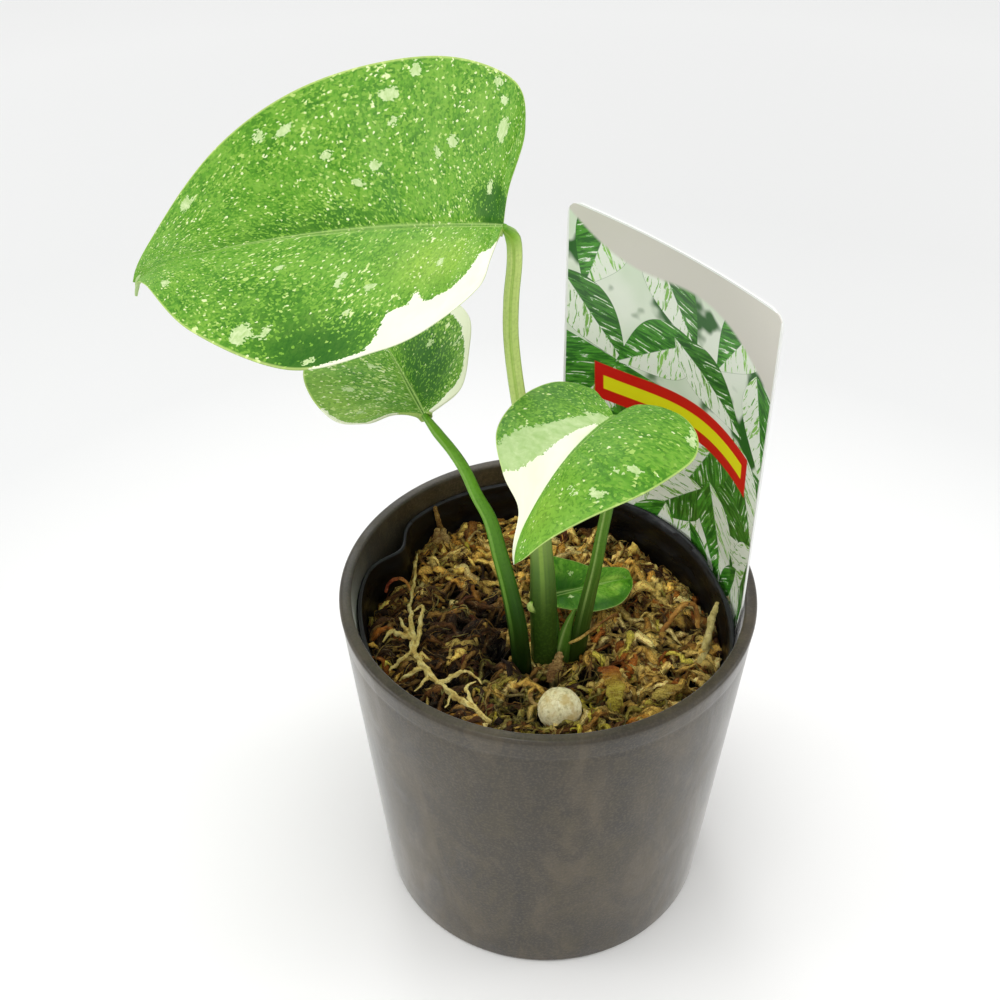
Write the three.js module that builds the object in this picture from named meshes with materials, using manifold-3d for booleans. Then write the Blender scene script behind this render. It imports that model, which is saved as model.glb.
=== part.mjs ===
// Potted thai constellation monstera: a young plant with four variegated leaves, potted in
// sphagnum moss inside a thin nursery liner, which stands in a dark plastic pot with a label.
// Millimetres, +Z up. The origin is the centre of the pot's flat bottom.

import * as THREE from 'three';
import { mergeVertices } from 'three/addons/utils/BufferGeometryUtils.js';
import Module from 'manifold-3d';

const wasm = await Module();
wasm.setup();

// Driving dimensions
const gap = 0.3;

const pot = {
  height: 98.9,
  baseRadius: 44.6,
  rimRadius: 52.5,
  wall: 3.1,
  floor: 3.5,
  edgeRound: 1.0,
  bandHeight: 6.0,
  bandProud: 0.3,
  drainRadius: 4.0,
  drainCircle: 24.0,
  drains: 4,
  segments: 60,
};

const liner = {
  bottom: pot.floor + gap,
  baseRadius: 36.0,
  topRadius: 48.6,
  topHeight: 93.0,
  wall: 0.8,
  floor: 1.2,
  drainRadius: 3.5,
  drainCircle: 22.0,
  drains: 5,
  segments: 64,
  levels: [0, 0.25, 0.45, 0.6, 0.75, 0.88, 1],
};

const medium = { level: 85.0, rings: 13, edgeDrop: 1.5 };

// How the moss surface departs from its level: two slopes along y, and dips at [x, y, spread, depth]
const mossSlopes = { frontRise: 4.0, front: [18, 44], backFall: 3.5, back: [10, 44] };
const mossDips = [[0.3, -10.6, 12, 3.0], [37, 26, 11, 9.0], [-45, 12, 10, 6.0]];

// The buried stem: every leaf stalk stands on its top
const crown = { x: 0.3, y: -10.6, top: 78.6, halfWidth: 9.6, halfDepth: 6.0, depth: 20.0 };

const label = {
  top: 183.0,
  bottom: 84.0,
  thickness: 0.7,
  cornerRadius: 4.0,
  width: 69.0,
};

const pellet = { x: 2.0, y: -34.0, z: 89.8, radius: 5.3 };

const blade = { thickness: 0.8, rows: 18, columns: 5, veinLean: 1.7, veinBow: 0.05 };

// A leaf is drawn flat first, in millimetres along and across its midrib: left and right are
// the two halves of its outline, from the notch at the stalk round the lobe to the tip.
// Angles are in degrees: yaw, pitch and roll turn the blade, bend and droop curve its midrib
// down, fold lifts each half from the midrib and arch curves it on towards the margin.
const leaves = {
  leaf_large: {
    color: 0x5f9a3c,
    length: 86.5,
    left: [[2, 10], [4, 19], [10.5, 27], [21.5, 35], [38.5, 38.5], [62.5, 23.5], [78, 6]],
    right: [[-1, 8.5], [-4, 22.5], [-1, 34], [15.5, 41], [39.5, 37], [62.5, 25], [79, 8]],
    yaw: 177.7, pitch: 0.5, roll: -24, bend: 28, droop: 27,
    foldLeft: 15.5, foldRight: 13, archLeft: -8, archRight: -10,
    joint: [-10.8, -4, 203],
    ripple: 0.5,
    stalk: [[-0.7, -11, 81], [-1.3, -9.5, 102], [-1.8, -8, 114], [-3.1, -5.5, 131], [-5.3, -3, 145.5],
      [-7.7, -1, 159], [-9.1, 0.5, 172], [-9.1, 1, 182], [-8.4, 0.5, 192], [-8.8, -0.8, 198.5],
      [-10.8, -4, 202.8]],
    stalkRadius: [3.3, 3.3, 2.8, 2.3, 1.9, 1.75, 1.7, 1.7, 1.65, 1.6, 0.9],
    stalkSquash: 0.8,
  },
  leaf_rear: {
    color: 0x4f8a2f,
    length: 52,
    left: [[0, 7.5], [-4.5, 15.5], [-3, 22.5], [8.5, 26], [22.5, 24], [37, 14], [47, 4.5]],
    right: [[-3.5, 4.5], [-6.5, 12.5], [-2, 19], [7.5, 24.5], [21.5, 22], [36.5, 13], [47, 4]],
    yaw: 108.5, pitch: -3.5, roll: -19.5, bend: -3.5, droop: 12,
    foldLeft: 31, foldRight: 32, archLeft: 4, archRight: 6,
    joint: [-29.8, 12, 143.4],
    ripple: 0.4,
    stalk: [[-6.2, -14.1, 81], [-7.6, -13, 95.5], [-9.6, -10.5, 106.5], [-11.9, -8, 116],
      [-14.2, -5, 124.5], [-17.3, -2.5, 130], [-20.1, 1, 135], [-23.1, 4, 138.5], [-26.7, 8, 141],
      [-29.8, 12, 143.2]],
    stalkRadius: [2.4, 2.35, 2.1, 1.95, 1.7, 1.5, 1.4, 1.3, 1.25, 0.8],
    stalkSquash: 0.85,
  },
  leaf_front: {
    color: 0x6fa851,
    length: 44.5,
    left: [[-6, 1], [-7.5, 10], [-3.5, 18.5], [6, 22.5], [19.5, 20], [32, 11.5], [41.5, 4]],
    right: [[-3.5, 5], [-7, 11.5], [-4, 18.5], [5, 21], [17, 18], [27, 10], [34, 2.5]],
    yaw: 232, pitch: 8.5, roll: 16, bend: 42, droop: 38,
    foldLeft: 1, foldRight: 18, archLeft: -30, archRight: -13.5,
    joint: [12.5, -20, 166.3],
    ripple: 0.3,
    stalk: [[6.6, -9.8, 81], [8.5, -10.5, 96.3], [9.8, -11.5, 107.5], [11, -13, 118.5],
      [11.9, -14.5, 129.5], [12.6, -16.2, 138.5], [12.9, -18, 150], [12.8, -19.4, 159.5],
      [12.5, -20, 166.1]],
    stalkRadius: [2.4, 2.0, 1.75, 1.55, 1.4, 1.35, 1.3, 1.25, 0.8],
    stalkSquash: 0.85,
  },
  leaf_young: {
    color: 0x58992c,
    length: 21.5,
    left: [[-1, 4.5], [-1.2, 9], [2.2, 10.2], [6.8, 7.8], [11.5, 4.9], [16.5, 3.9], [20.3, 2.4]],
    right: [[-0.3, 1.4], [-0.6, 3], [1, 4.8], [4.5, 6.4], [9.8, 8.2], [15.8, 7.6], [20.2, 3.8]],
    yaw: 14, pitch: 8, roll: 0, bend: 8, droop: 8,
    foldLeft: 50, foldRight: 4, archLeft: -8, archRight: -34,
    joint: [1.4, 3.2, 91.4],
    ripple: 0.2,
    stalk: [[2.4, -6.2, 81], [2.1, -4.0, 84.5], [1.7, -0.5, 88.5], [1.4, 3.2, 91.2]],
    stalkRadius: [1.4, 1.3, 1.1, 0.6],
    stalkSquash: 1.0,
  },
};

// Loose things on the moss, as routes across it: [x, y, height above the moss, radius]
const dryRoot = {
  color: 0xc9b27a,
  main: [[-36, 14, 1.2, 0.5], [-36.5, 7, 1.4, 0.6], [-36, 1, 1.6, 0.7], [-34.5, -7, 1.6, 0.9],
    [-34.5, -13, 1.5, 0.9], [-31.5, -17, 1.2, 0.8], [-27.5, -22, 1.2, 0.8], [-23, -28, 1.2, 0.8],
    [-18, -33, 1.2, 0.7], [-13.5, -38, 1.2, 0.6]],
  branches: [
    { from: 3, route: [[-38.5, -6.5, 2.0, 0.6], [-42, -8.5, 1.6, 0.5]] },
    { from: 3, route: [[-37.5, -3.5, 2.4, 0.6], [-38.5, 0.5, 2.4, 0.5]] },
    { from: 4, route: [[-32.8, -9, 2.6, 0.6], [-32.6, -3, 3.4, 0.5], [-34.3, 1, 3.4, 0.5]] },
    { from: 4, route: [[-37.5, -12.4, 2.0, 0.6], [-41, -14.5, 1.5, 0.5]] },
    { from: 5, route: [[-35.5, -17, 1.8, 0.6], [-39, -18.5, 1.3, 0.5]] },
    { from: 5, route: [[-31.7, -20.5, 1.5, 0.6], [-33.5, -23, 1.1, 0.5]] },
    { from: 6, route: [[-25, -18.5, 2.1, 0.6], [-21, -17.5, 2.3, 0.5], [-17.5, -19, 1.5, 0.5]] },
    { from: 8, route: [[-17.5, -28.5, 2.0, 0.5], [-15, -25, 1.6, 0.5]] },
  ],
};

const archRoot = {
  color: 0x8a5a26,
  main: [[27.5, -5, -1.5, 0.9], [30, -1.5, 2.5, 0.9], [34, 1, 5.5, 1.0], [37.5, 0, 4.0, 0.9],
    [38.5, -3, 0, 0.9]],
};

const twig = {
  color: 0xb9a578,
  main: [[38.3, -14.5, 0.5, 1.3], [40.5, -9.5, 4.0, 1.1], [42.2, -4.5, 8.5, 0.8]],
};

const materials = {
  outer_pot: { color: 0x5d5855, roughness: 0.55 },
  nursery_liner: { color: 0x141518, roughness: 0.35 },
  growing_medium: { color: 0x8a6f45, roughness: 0.95 },
  rootstock: { color: 0x7a6a3e, roughness: 0.8 },
  fertiliser_pellet: { color: 0xc9bfae, roughness: 0.9 },
  plant_label: { color: 0xd9dbd2, roughness: 0.35 },
};

// General helpers
const radians = THREE.MathUtils.degToRad;
const clamp01 = (value) => Math.min(Math.max(value, 0), 1);

function smooth(value, from, to) {
  const share = clamp01((value - from) / (to - from));
  return share * share * (3 - 2 * share);
}

function toSolid(geometry) {
  const bare = geometry.clone();
  bare.deleteAttribute('normal');
  bare.deleteAttribute('uv');
  const merged = mergeVertices(bare, 1e-4);
  return new wasm.Manifold(new wasm.Mesh({
    numProp: 3,
    vertProperties: merged.attributes.position.array,
    triVerts: new Uint32Array(merged.index.array),
  }));
}

// A cut can free thin scraps of moss: they are dropped
function largest(solid) {
  return solid.decompose().reduce((best, part) => (part.volume() > best.volume() ? part : best));
}

function toGeometry(solid) {
  const cut = solid.getMesh();
  const geometry = new THREE.BufferGeometry();
  geometry.setAttribute('position', new THREE.BufferAttribute(cut.vertProperties, 3));
  geometry.setIndex(new THREE.BufferAttribute(cut.triVerts, 1));
  geometry.computeVertexNormals();
  return geometry;
}

function named(name, geometry, look) {
  const material = new THREE.MeshStandardMaterial({ metalness: 0, roughness: 0.5, ...look });
  const mesh = new THREE.Mesh(geometry, material);
  mesh.name = name;
  return mesh;
}

function fromTriangles(points, triangles) {
  const geometry = new THREE.BufferGeometry();
  geometry.setAttribute('position', new THREE.Float32BufferAttribute(points.flat(), 3));
  geometry.setIndex(triangles.flat());
  return geometry;
}

// A closed skin over rings of points, each ring counter-clockwise as the rings advance
function skin(rings) {
  const sides = rings[0].length;
  const points = rings.flat();
  const triangles = [];
  for (let ring = 0; ring + 1 < rings.length; ring += 1) {
    for (let side = 0; side < sides; side += 1) {
      const a = ring * sides + side;
      const b = ring * sides + (side + 1) % sides;
      triangles.push([a, b, b + sides], [a, b + sides, a + sides]);
    }
  }
  const middle = (ring) => [0, 1, 2].map((axis) => ring.reduce((sum, p) => sum + p[axis], 0) / sides);
  const first = points.push(middle(rings[0])) - 1;
  const last = points.push(middle(rings[rings.length - 1])) - 1;
  const lastStart = (rings.length - 1) * sides;
  for (let side = 0; side < sides; side += 1) {
    const next = (side + 1) % sides;
    triangles.push([first, next, side], [last, lastStart + side, lastStart + next]);
  }
  return fromTriangles(points, triangles);
}

// A tube with a radius at each route point; squash flattens it across the route's side vector
function tube(route, radii, { sides = 10, steps = 3, squash = 1, grow = 0 } = {}) {
  const curve = new THREE.CatmullRomCurve3(route.map((p) => new THREE.Vector3(...p)), false, 'centripetal');
  const count = (route.length - 1) * steps;
  const across = new THREE.Vector3();
  const out = new THREE.Vector3();
  const rings = [];
  for (let i = 0; i <= count; i += 1) {
    const t = i / count;
    const at = curve.getPoint(t);
    const along = curve.getTangent(t);
    out.crossVectors(new THREE.Vector3(1, 0, 0), along).normalize();
    across.crossVectors(out, along).normalize();
    const place = t * (radii.length - 1);
    const low = Math.min(Math.floor(place), radii.length - 2);
    const radius = THREE.MathUtils.lerp(radii[low], radii[low + 1], place - low) + grow;
    rings.push(Array.from({ length: sides }, (_, side) => {
      const angle = (side / sides) * 2 * Math.PI;
      return at.clone()
        .addScaledVector(across, radius * Math.cos(angle))
        .addScaledVector(out, radius * squash * Math.sin(angle))
        .toArray();
    }));
  }
  return skin(rings);
}

// The pot
function potRadius(z) {
  return pot.baseRadius + (pot.rimRadius - pot.baseRadius) * (z / pot.height);
}

function ring(radius, height, count, holeRadius, z) {
  return Array.from({ length: count }, (_, index) => {
    const angle = (index / count) * 2 * Math.PI + Math.PI / count;
    const drain = new THREE.CylinderGeometry(holeRadius, holeRadius, height, 20);
    drain.rotateX(Math.PI / 2);
    drain.translate(radius * Math.cos(angle), radius * Math.sin(angle), z);
    return toSolid(drain);
  });
}

function buildPot() {
  const { height, edgeRound: round, bandHeight, bandProud, wall, floor } = pot;
  const bandBottom = height - bandHeight;
  const inner = (z) => potRadius(z) - wall;
  const profile = [
    [0, 0],
    [pot.baseRadius - round, 0],
    [potRadius(round * 0.3) - round * 0.3, round * 0.3],
    [potRadius(round), round],
    [potRadius(bandBottom) - bandProud, bandBottom - bandProud],
    [potRadius(bandBottom), bandBottom],
    [potRadius(height - round), height - round],
    [pot.rimRadius - round * 0.3, height - round * 0.3],
    [pot.rimRadius - round, height],
    [inner(height) + round * 0.7, height],
    [inner(height) + round * 0.2, height - round * 0.2],
    [inner(height - round * 0.7), height - round * 0.7],
    [inner(floor + 2), floor + 2],
    [inner(floor) - 1.5, floor],
    [0, floor],
  ].map(([r, z]) => new THREE.Vector2(r, z));
  const body = new THREE.LatheGeometry(profile, pot.segments);
  body.rotateX(Math.PI / 2);
  let solid = toSolid(body);
  for (const drain of ring(pot.drainCircle, 4 * floor, pot.drains, pot.drainRadius, floor / 2)) {
    solid = solid.subtract(drain);
  }
  return toGeometry(solid);
}

// The liner: a cone of thin film pushed in by the label on one side and dented on the other
const push = { depth: 5.0, from: [-24, 16], to: [86, 102], start: 30, full: 78 };
const dent = { depth: 5.0, angle: 152, spread: 8 };

function linerRadius(angle, z) {
  const degrees = THREE.MathUtils.radToDeg(Math.atan2(Math.sin(angle), Math.cos(angle)));
  const share = (z - liner.bottom) / (liner.topHeight - liner.bottom);
  const cone = liner.baseRadius + (liner.topRadius - liner.baseRadius) * share;
  const fade = smooth(z, push.start, push.full);
  const side = smooth(degrees, ...push.from) * (1 - smooth(degrees, ...push.to));
  const notch = Math.exp(-(((degrees - dent.angle) / dent.spread) ** 2));
  const wave = 0.25 * Math.sin(7 * angle) * share;
  const widest = potRadius(z) - pot.wall - gap;
  return Math.min(cone + wave, widest) - fade * (push.depth * side + dent.depth * notch);
}

function linerTop(angle) {
  return liner.topHeight + 1.2 * Math.cos(angle - radians(35)) + 0.5 * Math.sin(3 * angle);
}

function linerLevel(angle, share) {
  return THREE.MathUtils.lerp(liner.bottom, linerTop(angle), share);
}

function linerRing(inset, height) {
  return Array.from({ length: liner.segments }, (_, index) => {
    const angle = (index / liner.segments) * 2 * Math.PI;
    const z = height(angle);
    const r = linerRadius(angle, z) - inset;
    return [r * Math.cos(angle), r * Math.sin(angle), z];
  });
}

function buildLiner() {
  const floorTop = liner.bottom + liner.floor;
  const outside = liner.levels.map((share) => linerRing(0, (angle) => linerLevel(angle, share)));
  const inside = liner.levels.map((share) => linerRing(liner.wall, (angle) => (
    Math.max(linerLevel(angle, share), floorTop))));
  let solid = toSolid(skin([...outside, ...inside.reverse()]));
  const { drainCircle, drains, drainRadius, bottom } = liner;
  for (const drain of ring(drainCircle, 4 * liner.floor, drains, drainRadius, bottom)) {
    solid = solid.subtract(drain);
  }
  return toGeometry(solid);
}

// The moss: level in the middle, hollow round the stems, higher towards the front wall
function bump(x, y, atX, atY, spread) {
  return Math.exp(-((x - atX) ** 2 + (y - atY) ** 2) / (spread * spread));
}

function mossHeight(x, y) {
  const { frontRise, front, backFall, back } = mossSlopes;
  const slope = frontRise * smooth(-y, ...front) - backFall * smooth(y, ...back);
  const dips = mossDips.reduce((sum, [atX, atY, spread, depth]) => (
    sum + depth * bump(x, y, atX, atY, spread)), 0);
  const lumps = 0.55 * Math.sin(0.55 * x + 1.3 * Math.sin(0.31 * y))
    + 0.55 * Math.sin(0.5 * y + 1.1 * Math.sin(0.37 * x) + 2)
    + 0.45 * Math.sin(0.8 * (x + y)) * Math.cos(0.7 * (x - y));
  return medium.level + slope - dips + lumps;
}

function buildMedium(cuts) {
  const inset = liner.wall + 1.7 * gap;
  const bottom = liner.bottom + liner.floor + gap;
  const at = (angle, share, z) => {
    const r = (linerRadius(angle, z) - inset) * share;
    return [r * Math.cos(angle), r * Math.sin(angle), z];
  };
  const round = (make) => Array.from({ length: liner.segments }, (_, index) => (
    make((index / liner.segments) * 2 * Math.PI)));
  const edgeHeight = (angle) => {
    const r = linerRadius(angle, medium.level) - inset;
    return mossHeight(r * Math.cos(angle), r * Math.sin(angle)) - medium.edgeDrop;
  };
  const wall = liner.levels.slice(0, -2).map((share) => round((angle) => (
    at(angle, 1, Math.max(linerLevel(angle, share), bottom)))));
  const top = Array.from({ length: medium.rings }, (_, index) => {
    const share = 1 - index / medium.rings;
    return round((angle) => {
      const edge = at(angle, share, edgeHeight(angle));
      const drop = share === 1 ? medium.edgeDrop : 0;
      return [edge[0], edge[1], mossHeight(edge[0], edge[1]) - drop];
    });
  });
  let solid = toSolid(skin([...wall, ...top]));
  for (const cut of cuts) {
    solid = solid.subtract(cut);
  }
  return toGeometry(largest(solid));
}

// The rootstock: a short buried stem with roots that go down and outwards through the moss
const buriedRoots = {
  count: 6,
  turn: 0.4,
  shortest: 13,
  lowest: 20,
  radii: [2.0, 1.7, 1.3, 0.8],
};
// Share of the stem's depth from the bottom, and the stem's width there
const crownShape = [[0, 0.62], [0.25, 0.85], [0.7, 1], [1, 0.9]];

function rootstockSolid(grow) {
  const { x, y, top, halfWidth, halfDepth, depth } = crown;
  const sides = 20;
  const rings = crownShape.map(([share, width], index) => Array.from({ length: sides }, (_, side) => {
    const angle = (side / sides) * 2 * Math.PI;
    const stretch = index === 0 ? -grow : (index === crownShape.length - 1 ? grow : 0);
    return [
      x + (halfWidth * width + grow) * Math.cos(angle),
      y + (halfDepth * width + grow) * Math.sin(angle),
      top - depth * (1 - share) + stretch,
    ];
  }));
  let solid = toSolid(skin(rings));
  const { count, turn, shortest, lowest, radii } = buriedRoots;
  for (let index = 0; index < count; index += 1) {
    const angle = (index / count) * 2 * Math.PI + turn;
    const reach = shortest + 4 * ((index * 5) % 3);
    const low = lowest + 6 * ((index * 7) % 4);
    const dirX = Math.cos(angle);
    const dirY = Math.sin(angle);
    const route = [
      [x + 3 * dirX, y + 2 * dirY, top - 8],
      [x + 7 * dirX, y + 5 * dirY, top - depth - 4],
      [x + 0.7 * reach * dirX, y + 0.7 * reach * dirY, 0.5 * (top - depth + low)],
      [x + reach * dirX, y + reach * dirY, low],
    ];
    solid = solid.add(toSolid(tube(route, radii, { sides: 8, steps: 2, grow })));
  }
  return solid;
}

// Leaves
function outlineOf(points, length) {
  const flat = [[0, 0], ...points, [length, 0]].map(([x, y]) => new THREE.Vector3(x, y, 0));
  return new THREE.CatmullRomCurve3(flat, false, 'catmullrom', 0.5);
}

// A place on one half: row runs from the notch to the tip, column from the midrib outwards
function flatPoint(leaf, outline, row, column) {
  const notchEnd = 2 / (leaf.left.length + 1);
  const lobe = outline.getPoint(notchEnd);
  const notch = outline.getPoint(notchEnd * column);
  const margin = outline.getPoint(notchEnd + (1 - notchEnd) * row);
  const midrib = leaf.length * row ** blade.veinLean;
  const bow = blade.veinBow * leaf.length * column * (1 - column) * row * (1 - row) * 4;
  return [
    (1 - row) * (notch.x - column * lobe.x) + (1 - column) * midrib + column * margin.x + bow,
    (1 - row) * (notch.y - column * lobe.y) + column * margin.y,
  ];
}

function midribFrame(leaf, x) {
  const step = 0.5;
  const angleAt = (place) => {
    const share = Math.max(place / leaf.length, 0);
    return radians(leaf.bend) * share + radians(leaf.droop) * clamp01((share - 0.75) / 0.25) ** 2;
  };
  if (x <= 0) {
    return { at: [x, 0], angle: 0 };
  }
  const count = Math.ceil(x / step);
  const pace = x / count;
  const at = [0, 0];
  for (let i = 0; i < count; i += 1) {
    const angle = angleAt((i + 0.5) * pace);
    at[0] += pace * Math.cos(angle);
    at[1] -= pace * Math.sin(angle);
  }
  return { at, angle: angleAt(x) };
}

function bladePlace(leaf, side, flat, lift, row = 0.5, column = 0) {
  const { at, angle } = midribFrame(leaf, flat[0]);
  const fold = radians(side > 0 ? leaf.foldLeft : leaf.foldRight);
  const arch = radians(side > 0 ? leaf.archLeft : leaf.archRight) / (leaf.length / 2);
  const across = flat[1];
  const out = (Math.sin(fold + arch * across) - Math.sin(fold)) / arch;
  const wave = leaf.ripple * column ** 2 * Math.sin(5 * Math.PI * row + side);
  const up = -(Math.cos(fold + arch * across) - Math.cos(fold)) / arch + wave;
  const tilt = column === 0 ? 0 : fold + arch * across;
  const sideways = side * (out - lift * Math.sin(tilt));
  const raised = up + lift * Math.cos(tilt);
  const forward = at[0] + raised * Math.sin(angle);
  const local = new THREE.Vector3(forward, sideways, at[1] + raised * Math.cos(angle));
  const turn = new THREE.Euler(radians(leaf.roll), radians(-leaf.pitch), radians(leaf.yaw), 'ZYX');
  return local.applyEuler(turn).add(new THREE.Vector3(...leaf.joint)).toArray();
}

function bladeGeometry(leaf) {
  const { rows, columns, thickness } = blade;
  const points = [];
  const triangles = [];
  const index = new Map();
  const halves = [[1, outlineOf(leaf.left, leaf.length)], [-1, outlineOf(leaf.right, leaf.length)]];
  const vertex = (side, outline, row, column, face) => {
    const shared = row === rows ? 'tip' : `${column === 0 ? 0 : side * column}:${row}`;
    const key = `${shared}:${face}`;
    if (!index.has(key)) {
      const flat = flatPoint(leaf, outline, row / rows, column / columns);
      const place = bladePlace(leaf, side, flat, face * thickness / 2, row / rows, column / columns);
      index.set(key, points.push(place) - 1);
    }
    return index.get(key);
  };
  for (const [side, outline] of halves) {
    const at = (row, column, face) => vertex(side, outline, row, column, face);
    const add = (a, b, c) => triangles.push(side > 0 ? [a, b, c] : [a, c, b]);
    for (let row = 0; row < rows; row += 1) {
      for (let column = 0; column < columns; column += 1) {
        for (const face of [1, -1]) {
          const a = at(row, column, face);
          const b = at(row + 1, column, face);
          const c = at(row + 1, column + 1, face);
          const d = at(row, column + 1, face);
          const put = face > 0 ? add : (p, q, r) => add(p, r, q);
          put(a, b, d);
          if (row + 1 < rows) {
            put(b, c, d);
          }
        }
      }
      add(at(row, columns, 1), at(row + 1, columns, 1), at(row, columns, -1));
      add(at(row + 1, columns, 1), at(row + 1, columns, -1), at(row, columns, -1));
    }
    for (let column = 0; column < columns; column += 1) {
      add(at(0, column, 1), at(0, column + 1, 1), at(0, column, -1));
      add(at(0, column + 1, 1), at(0, column + 1, -1), at(0, column, -1));
    }
  }
  return fromTriangles(points, triangles);
}

// The raised midrib under the blade, from the stalk to near the tip
function midribGeometry(leaf) {
  const root = leaf.stalkRadius[leaf.stalkRadius.length - 1];
  const shares = [-0.01, 0.05, 0.15, 0.3, 0.45, 0.6, 0.75];
  const radii = shares.map((share) => root * (1 - 0.75 * clamp01(share)));
  const route = shares.map((share, i) => (
    bladePlace(leaf, 1, [share * leaf.length, 0], -0.7 * radii[i])));
  return tube(route, radii, { sides: 8, steps: 1 });
}

function stalkGeometry(leaf, grow = 0) {
  const [x, y] = leaf.stalk[0];
  const route = [[x, y, crown.top + gap - grow], ...leaf.stalk];
  const radii = [leaf.stalkRadius[0], ...leaf.stalkRadius];
  return tube(route, radii, { sides: 10, steps: 2, squash: leaf.stalkSquash, grow });
}

function buildLeaf(leaf) {
  const solid = toSolid(bladeGeometry(leaf))
    .add(toSolid(midribGeometry(leaf)))
    .add(toSolid(stalkGeometry(leaf)));
  return toGeometry(solid);
}

// Loose roots and the twig follow the moss
function looseSolid(piece, grow) {
  const branches = (piece.branches ?? []).map(({ from, route }) => (
    [[...piece.main[from].slice(0, 3), route[0][3]], ...route]));
  const solids = [piece.main, ...branches].map((line) => {
    const route = line.map(([x, y, above]) => [x, y, mossHeight(x, y) + above]);
    return toSolid(tube(route, line.map((p) => p[3]), { sides: 7, steps: 2, grow }));
  });
  return solids.reduce((whole, part) => whole.add(part));
}

function pelletSolid(grow) {
  const ball = new THREE.SphereGeometry(pellet.radius + grow, 18, 12);
  ball.rotateX(Math.PI / 2);
  ball.translate(pellet.x, pellet.y, pellet.z);
  return toSolid(ball);
}

// The label: a thin card, curved round the liner at the rim and nearly flat at the top.
// Each station is [height, right edge x, y, left edge x, y, bulge of the curve between them].
const labelStations = [
  [label.bottom, 46.8, -8.5, 5.1, 44.2, 12.6],
  [pot.height, 48.0, -8.9, 5.2, 45.4, 12.8],
  [label.top, 48.8, -7.5, 5.2, 44.7, 2.5],
];

function labelPoint(share, z, lift) {
  const upper = Math.max(labelStations.findIndex((station) => z <= station[0]), 1);
  const [low, high] = [labelStations[upper - 1], labelStations[upper]];
  const mix = (z - low[0]) / (high[0] - low[0]);
  const [, rightX, rightY, leftX, leftY, bulge] = low.map((v, i) => THREE.MathUtils.lerp(v, high[i], mix));
  const chord = new THREE.Vector2(leftX - rightX, leftY - rightY);
  const outward = new THREE.Vector2(chord.y, -chord.x).normalize();
  const arc = 4 * bulge * share * (1 - share) + lift;
  return [rightX + chord.x * share + outward.x * arc, rightY + chord.y * share + outward.y * arc, z];
}

function buildLabel() {
  const { top, bottom, cornerRadius: corner, thickness, width } = label;
  const cornerSteps = [1, 0.92, 0.7, 0.38, 0];
  const heights = [
    ...cornerSteps.map((share) => bottom + corner * (1 - share)),
    pot.height, 120, 140, 160,
    ...cornerSteps.toReversed().map((share) => top - corner * (1 - share)),
  ];
  const columns = 16;
  const rings = heights.map((z) => {
    const near = Math.min(z - bottom, top - z, corner);
    const inset = (corner - Math.sqrt(corner ** 2 - (corner - near) ** 2)) / width;
    const shares = Array.from({ length: columns + 1 }, (_, i) => inset + (1 - 2 * inset) * (i / columns));
    const outer = shares.map((share) => labelPoint(share, z, thickness / 2));
    const inner = shares.toReversed().map((share) => labelPoint(share, z, -thickness / 2));
    return [...outer, ...inner];
  });
  return fromCardRings(rings, columns);
}

// The card's rings close with a strip of quads instead of a fan, because they are thin
function fromCardRings(rings, columns) {
  const sides = rings[0].length;
  const points = rings.flat();
  const triangles = [];
  for (let level = 0; level + 1 < rings.length; level += 1) {
    for (let side = 0; side < sides; side += 1) {
      const a = level * sides + side;
      const b = level * sides + (side + 1) % sides;
      triangles.push([a, b, b + sides], [a, b + sides, a + sides]);
    }
  }
  const top = (rings.length - 1) * sides;
  for (let i = 0; i < columns; i += 1) {
    const [a, b, c, d] = [i, i + 1, sides - 2 - i, sides - 1 - i];
    triangles.push([a, c, b], [a, d, c]);
    triangles.push([top + a, top + b, top + c], [top + a, top + c, top + d]);
  }
  return fromTriangles(points, triangles);
}

// Assembly
const plant = new THREE.Group();
plant.name = 'potted_monstera';
plant.add(named('outer_pot', buildPot(), materials.outer_pot));
plant.add(named('nursery_liner', buildLiner(), materials.nursery_liner));

const looseThings = { dry_root: dryRoot, arch_root: archRoot, twig };
const holes = [
  rootstockSolid(gap),
  pelletSolid(gap),
  ...Object.values(leaves).map((leaf) => toSolid(stalkGeometry(leaf, gap + 0.05))),
  ...Object.values(looseThings).map((piece) => looseSolid(piece, gap)),
];
plant.add(named('growing_medium', buildMedium(holes), materials.growing_medium));
plant.add(named('rootstock', toGeometry(rootstockSolid(0)), materials.rootstock));
for (const [name, leaf] of Object.entries(leaves)) {
  plant.add(named(name, buildLeaf(leaf), { color: leaf.color, roughness: 0.4 }));
}
for (const [name, piece] of Object.entries(looseThings)) {
  plant.add(named(name, toGeometry(looseSolid(piece, 0)), { color: piece.color, roughness: 0.8 }));
}
plant.add(named('fertiliser_pellet', toGeometry(pelletSolid(0)), materials.fertiliser_pellet));
plant.add(named('plant_label', buildLabel(), materials.plant_label));

export default plant;
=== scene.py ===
# Potted thai constellation monstera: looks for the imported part.
# Shapes are worked out in millimetres and scaled to metres when a piece is finished.

import math
import random

import bmesh
import bpy
import numpy as np
from mathutils import Matrix, Vector, noise


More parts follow.
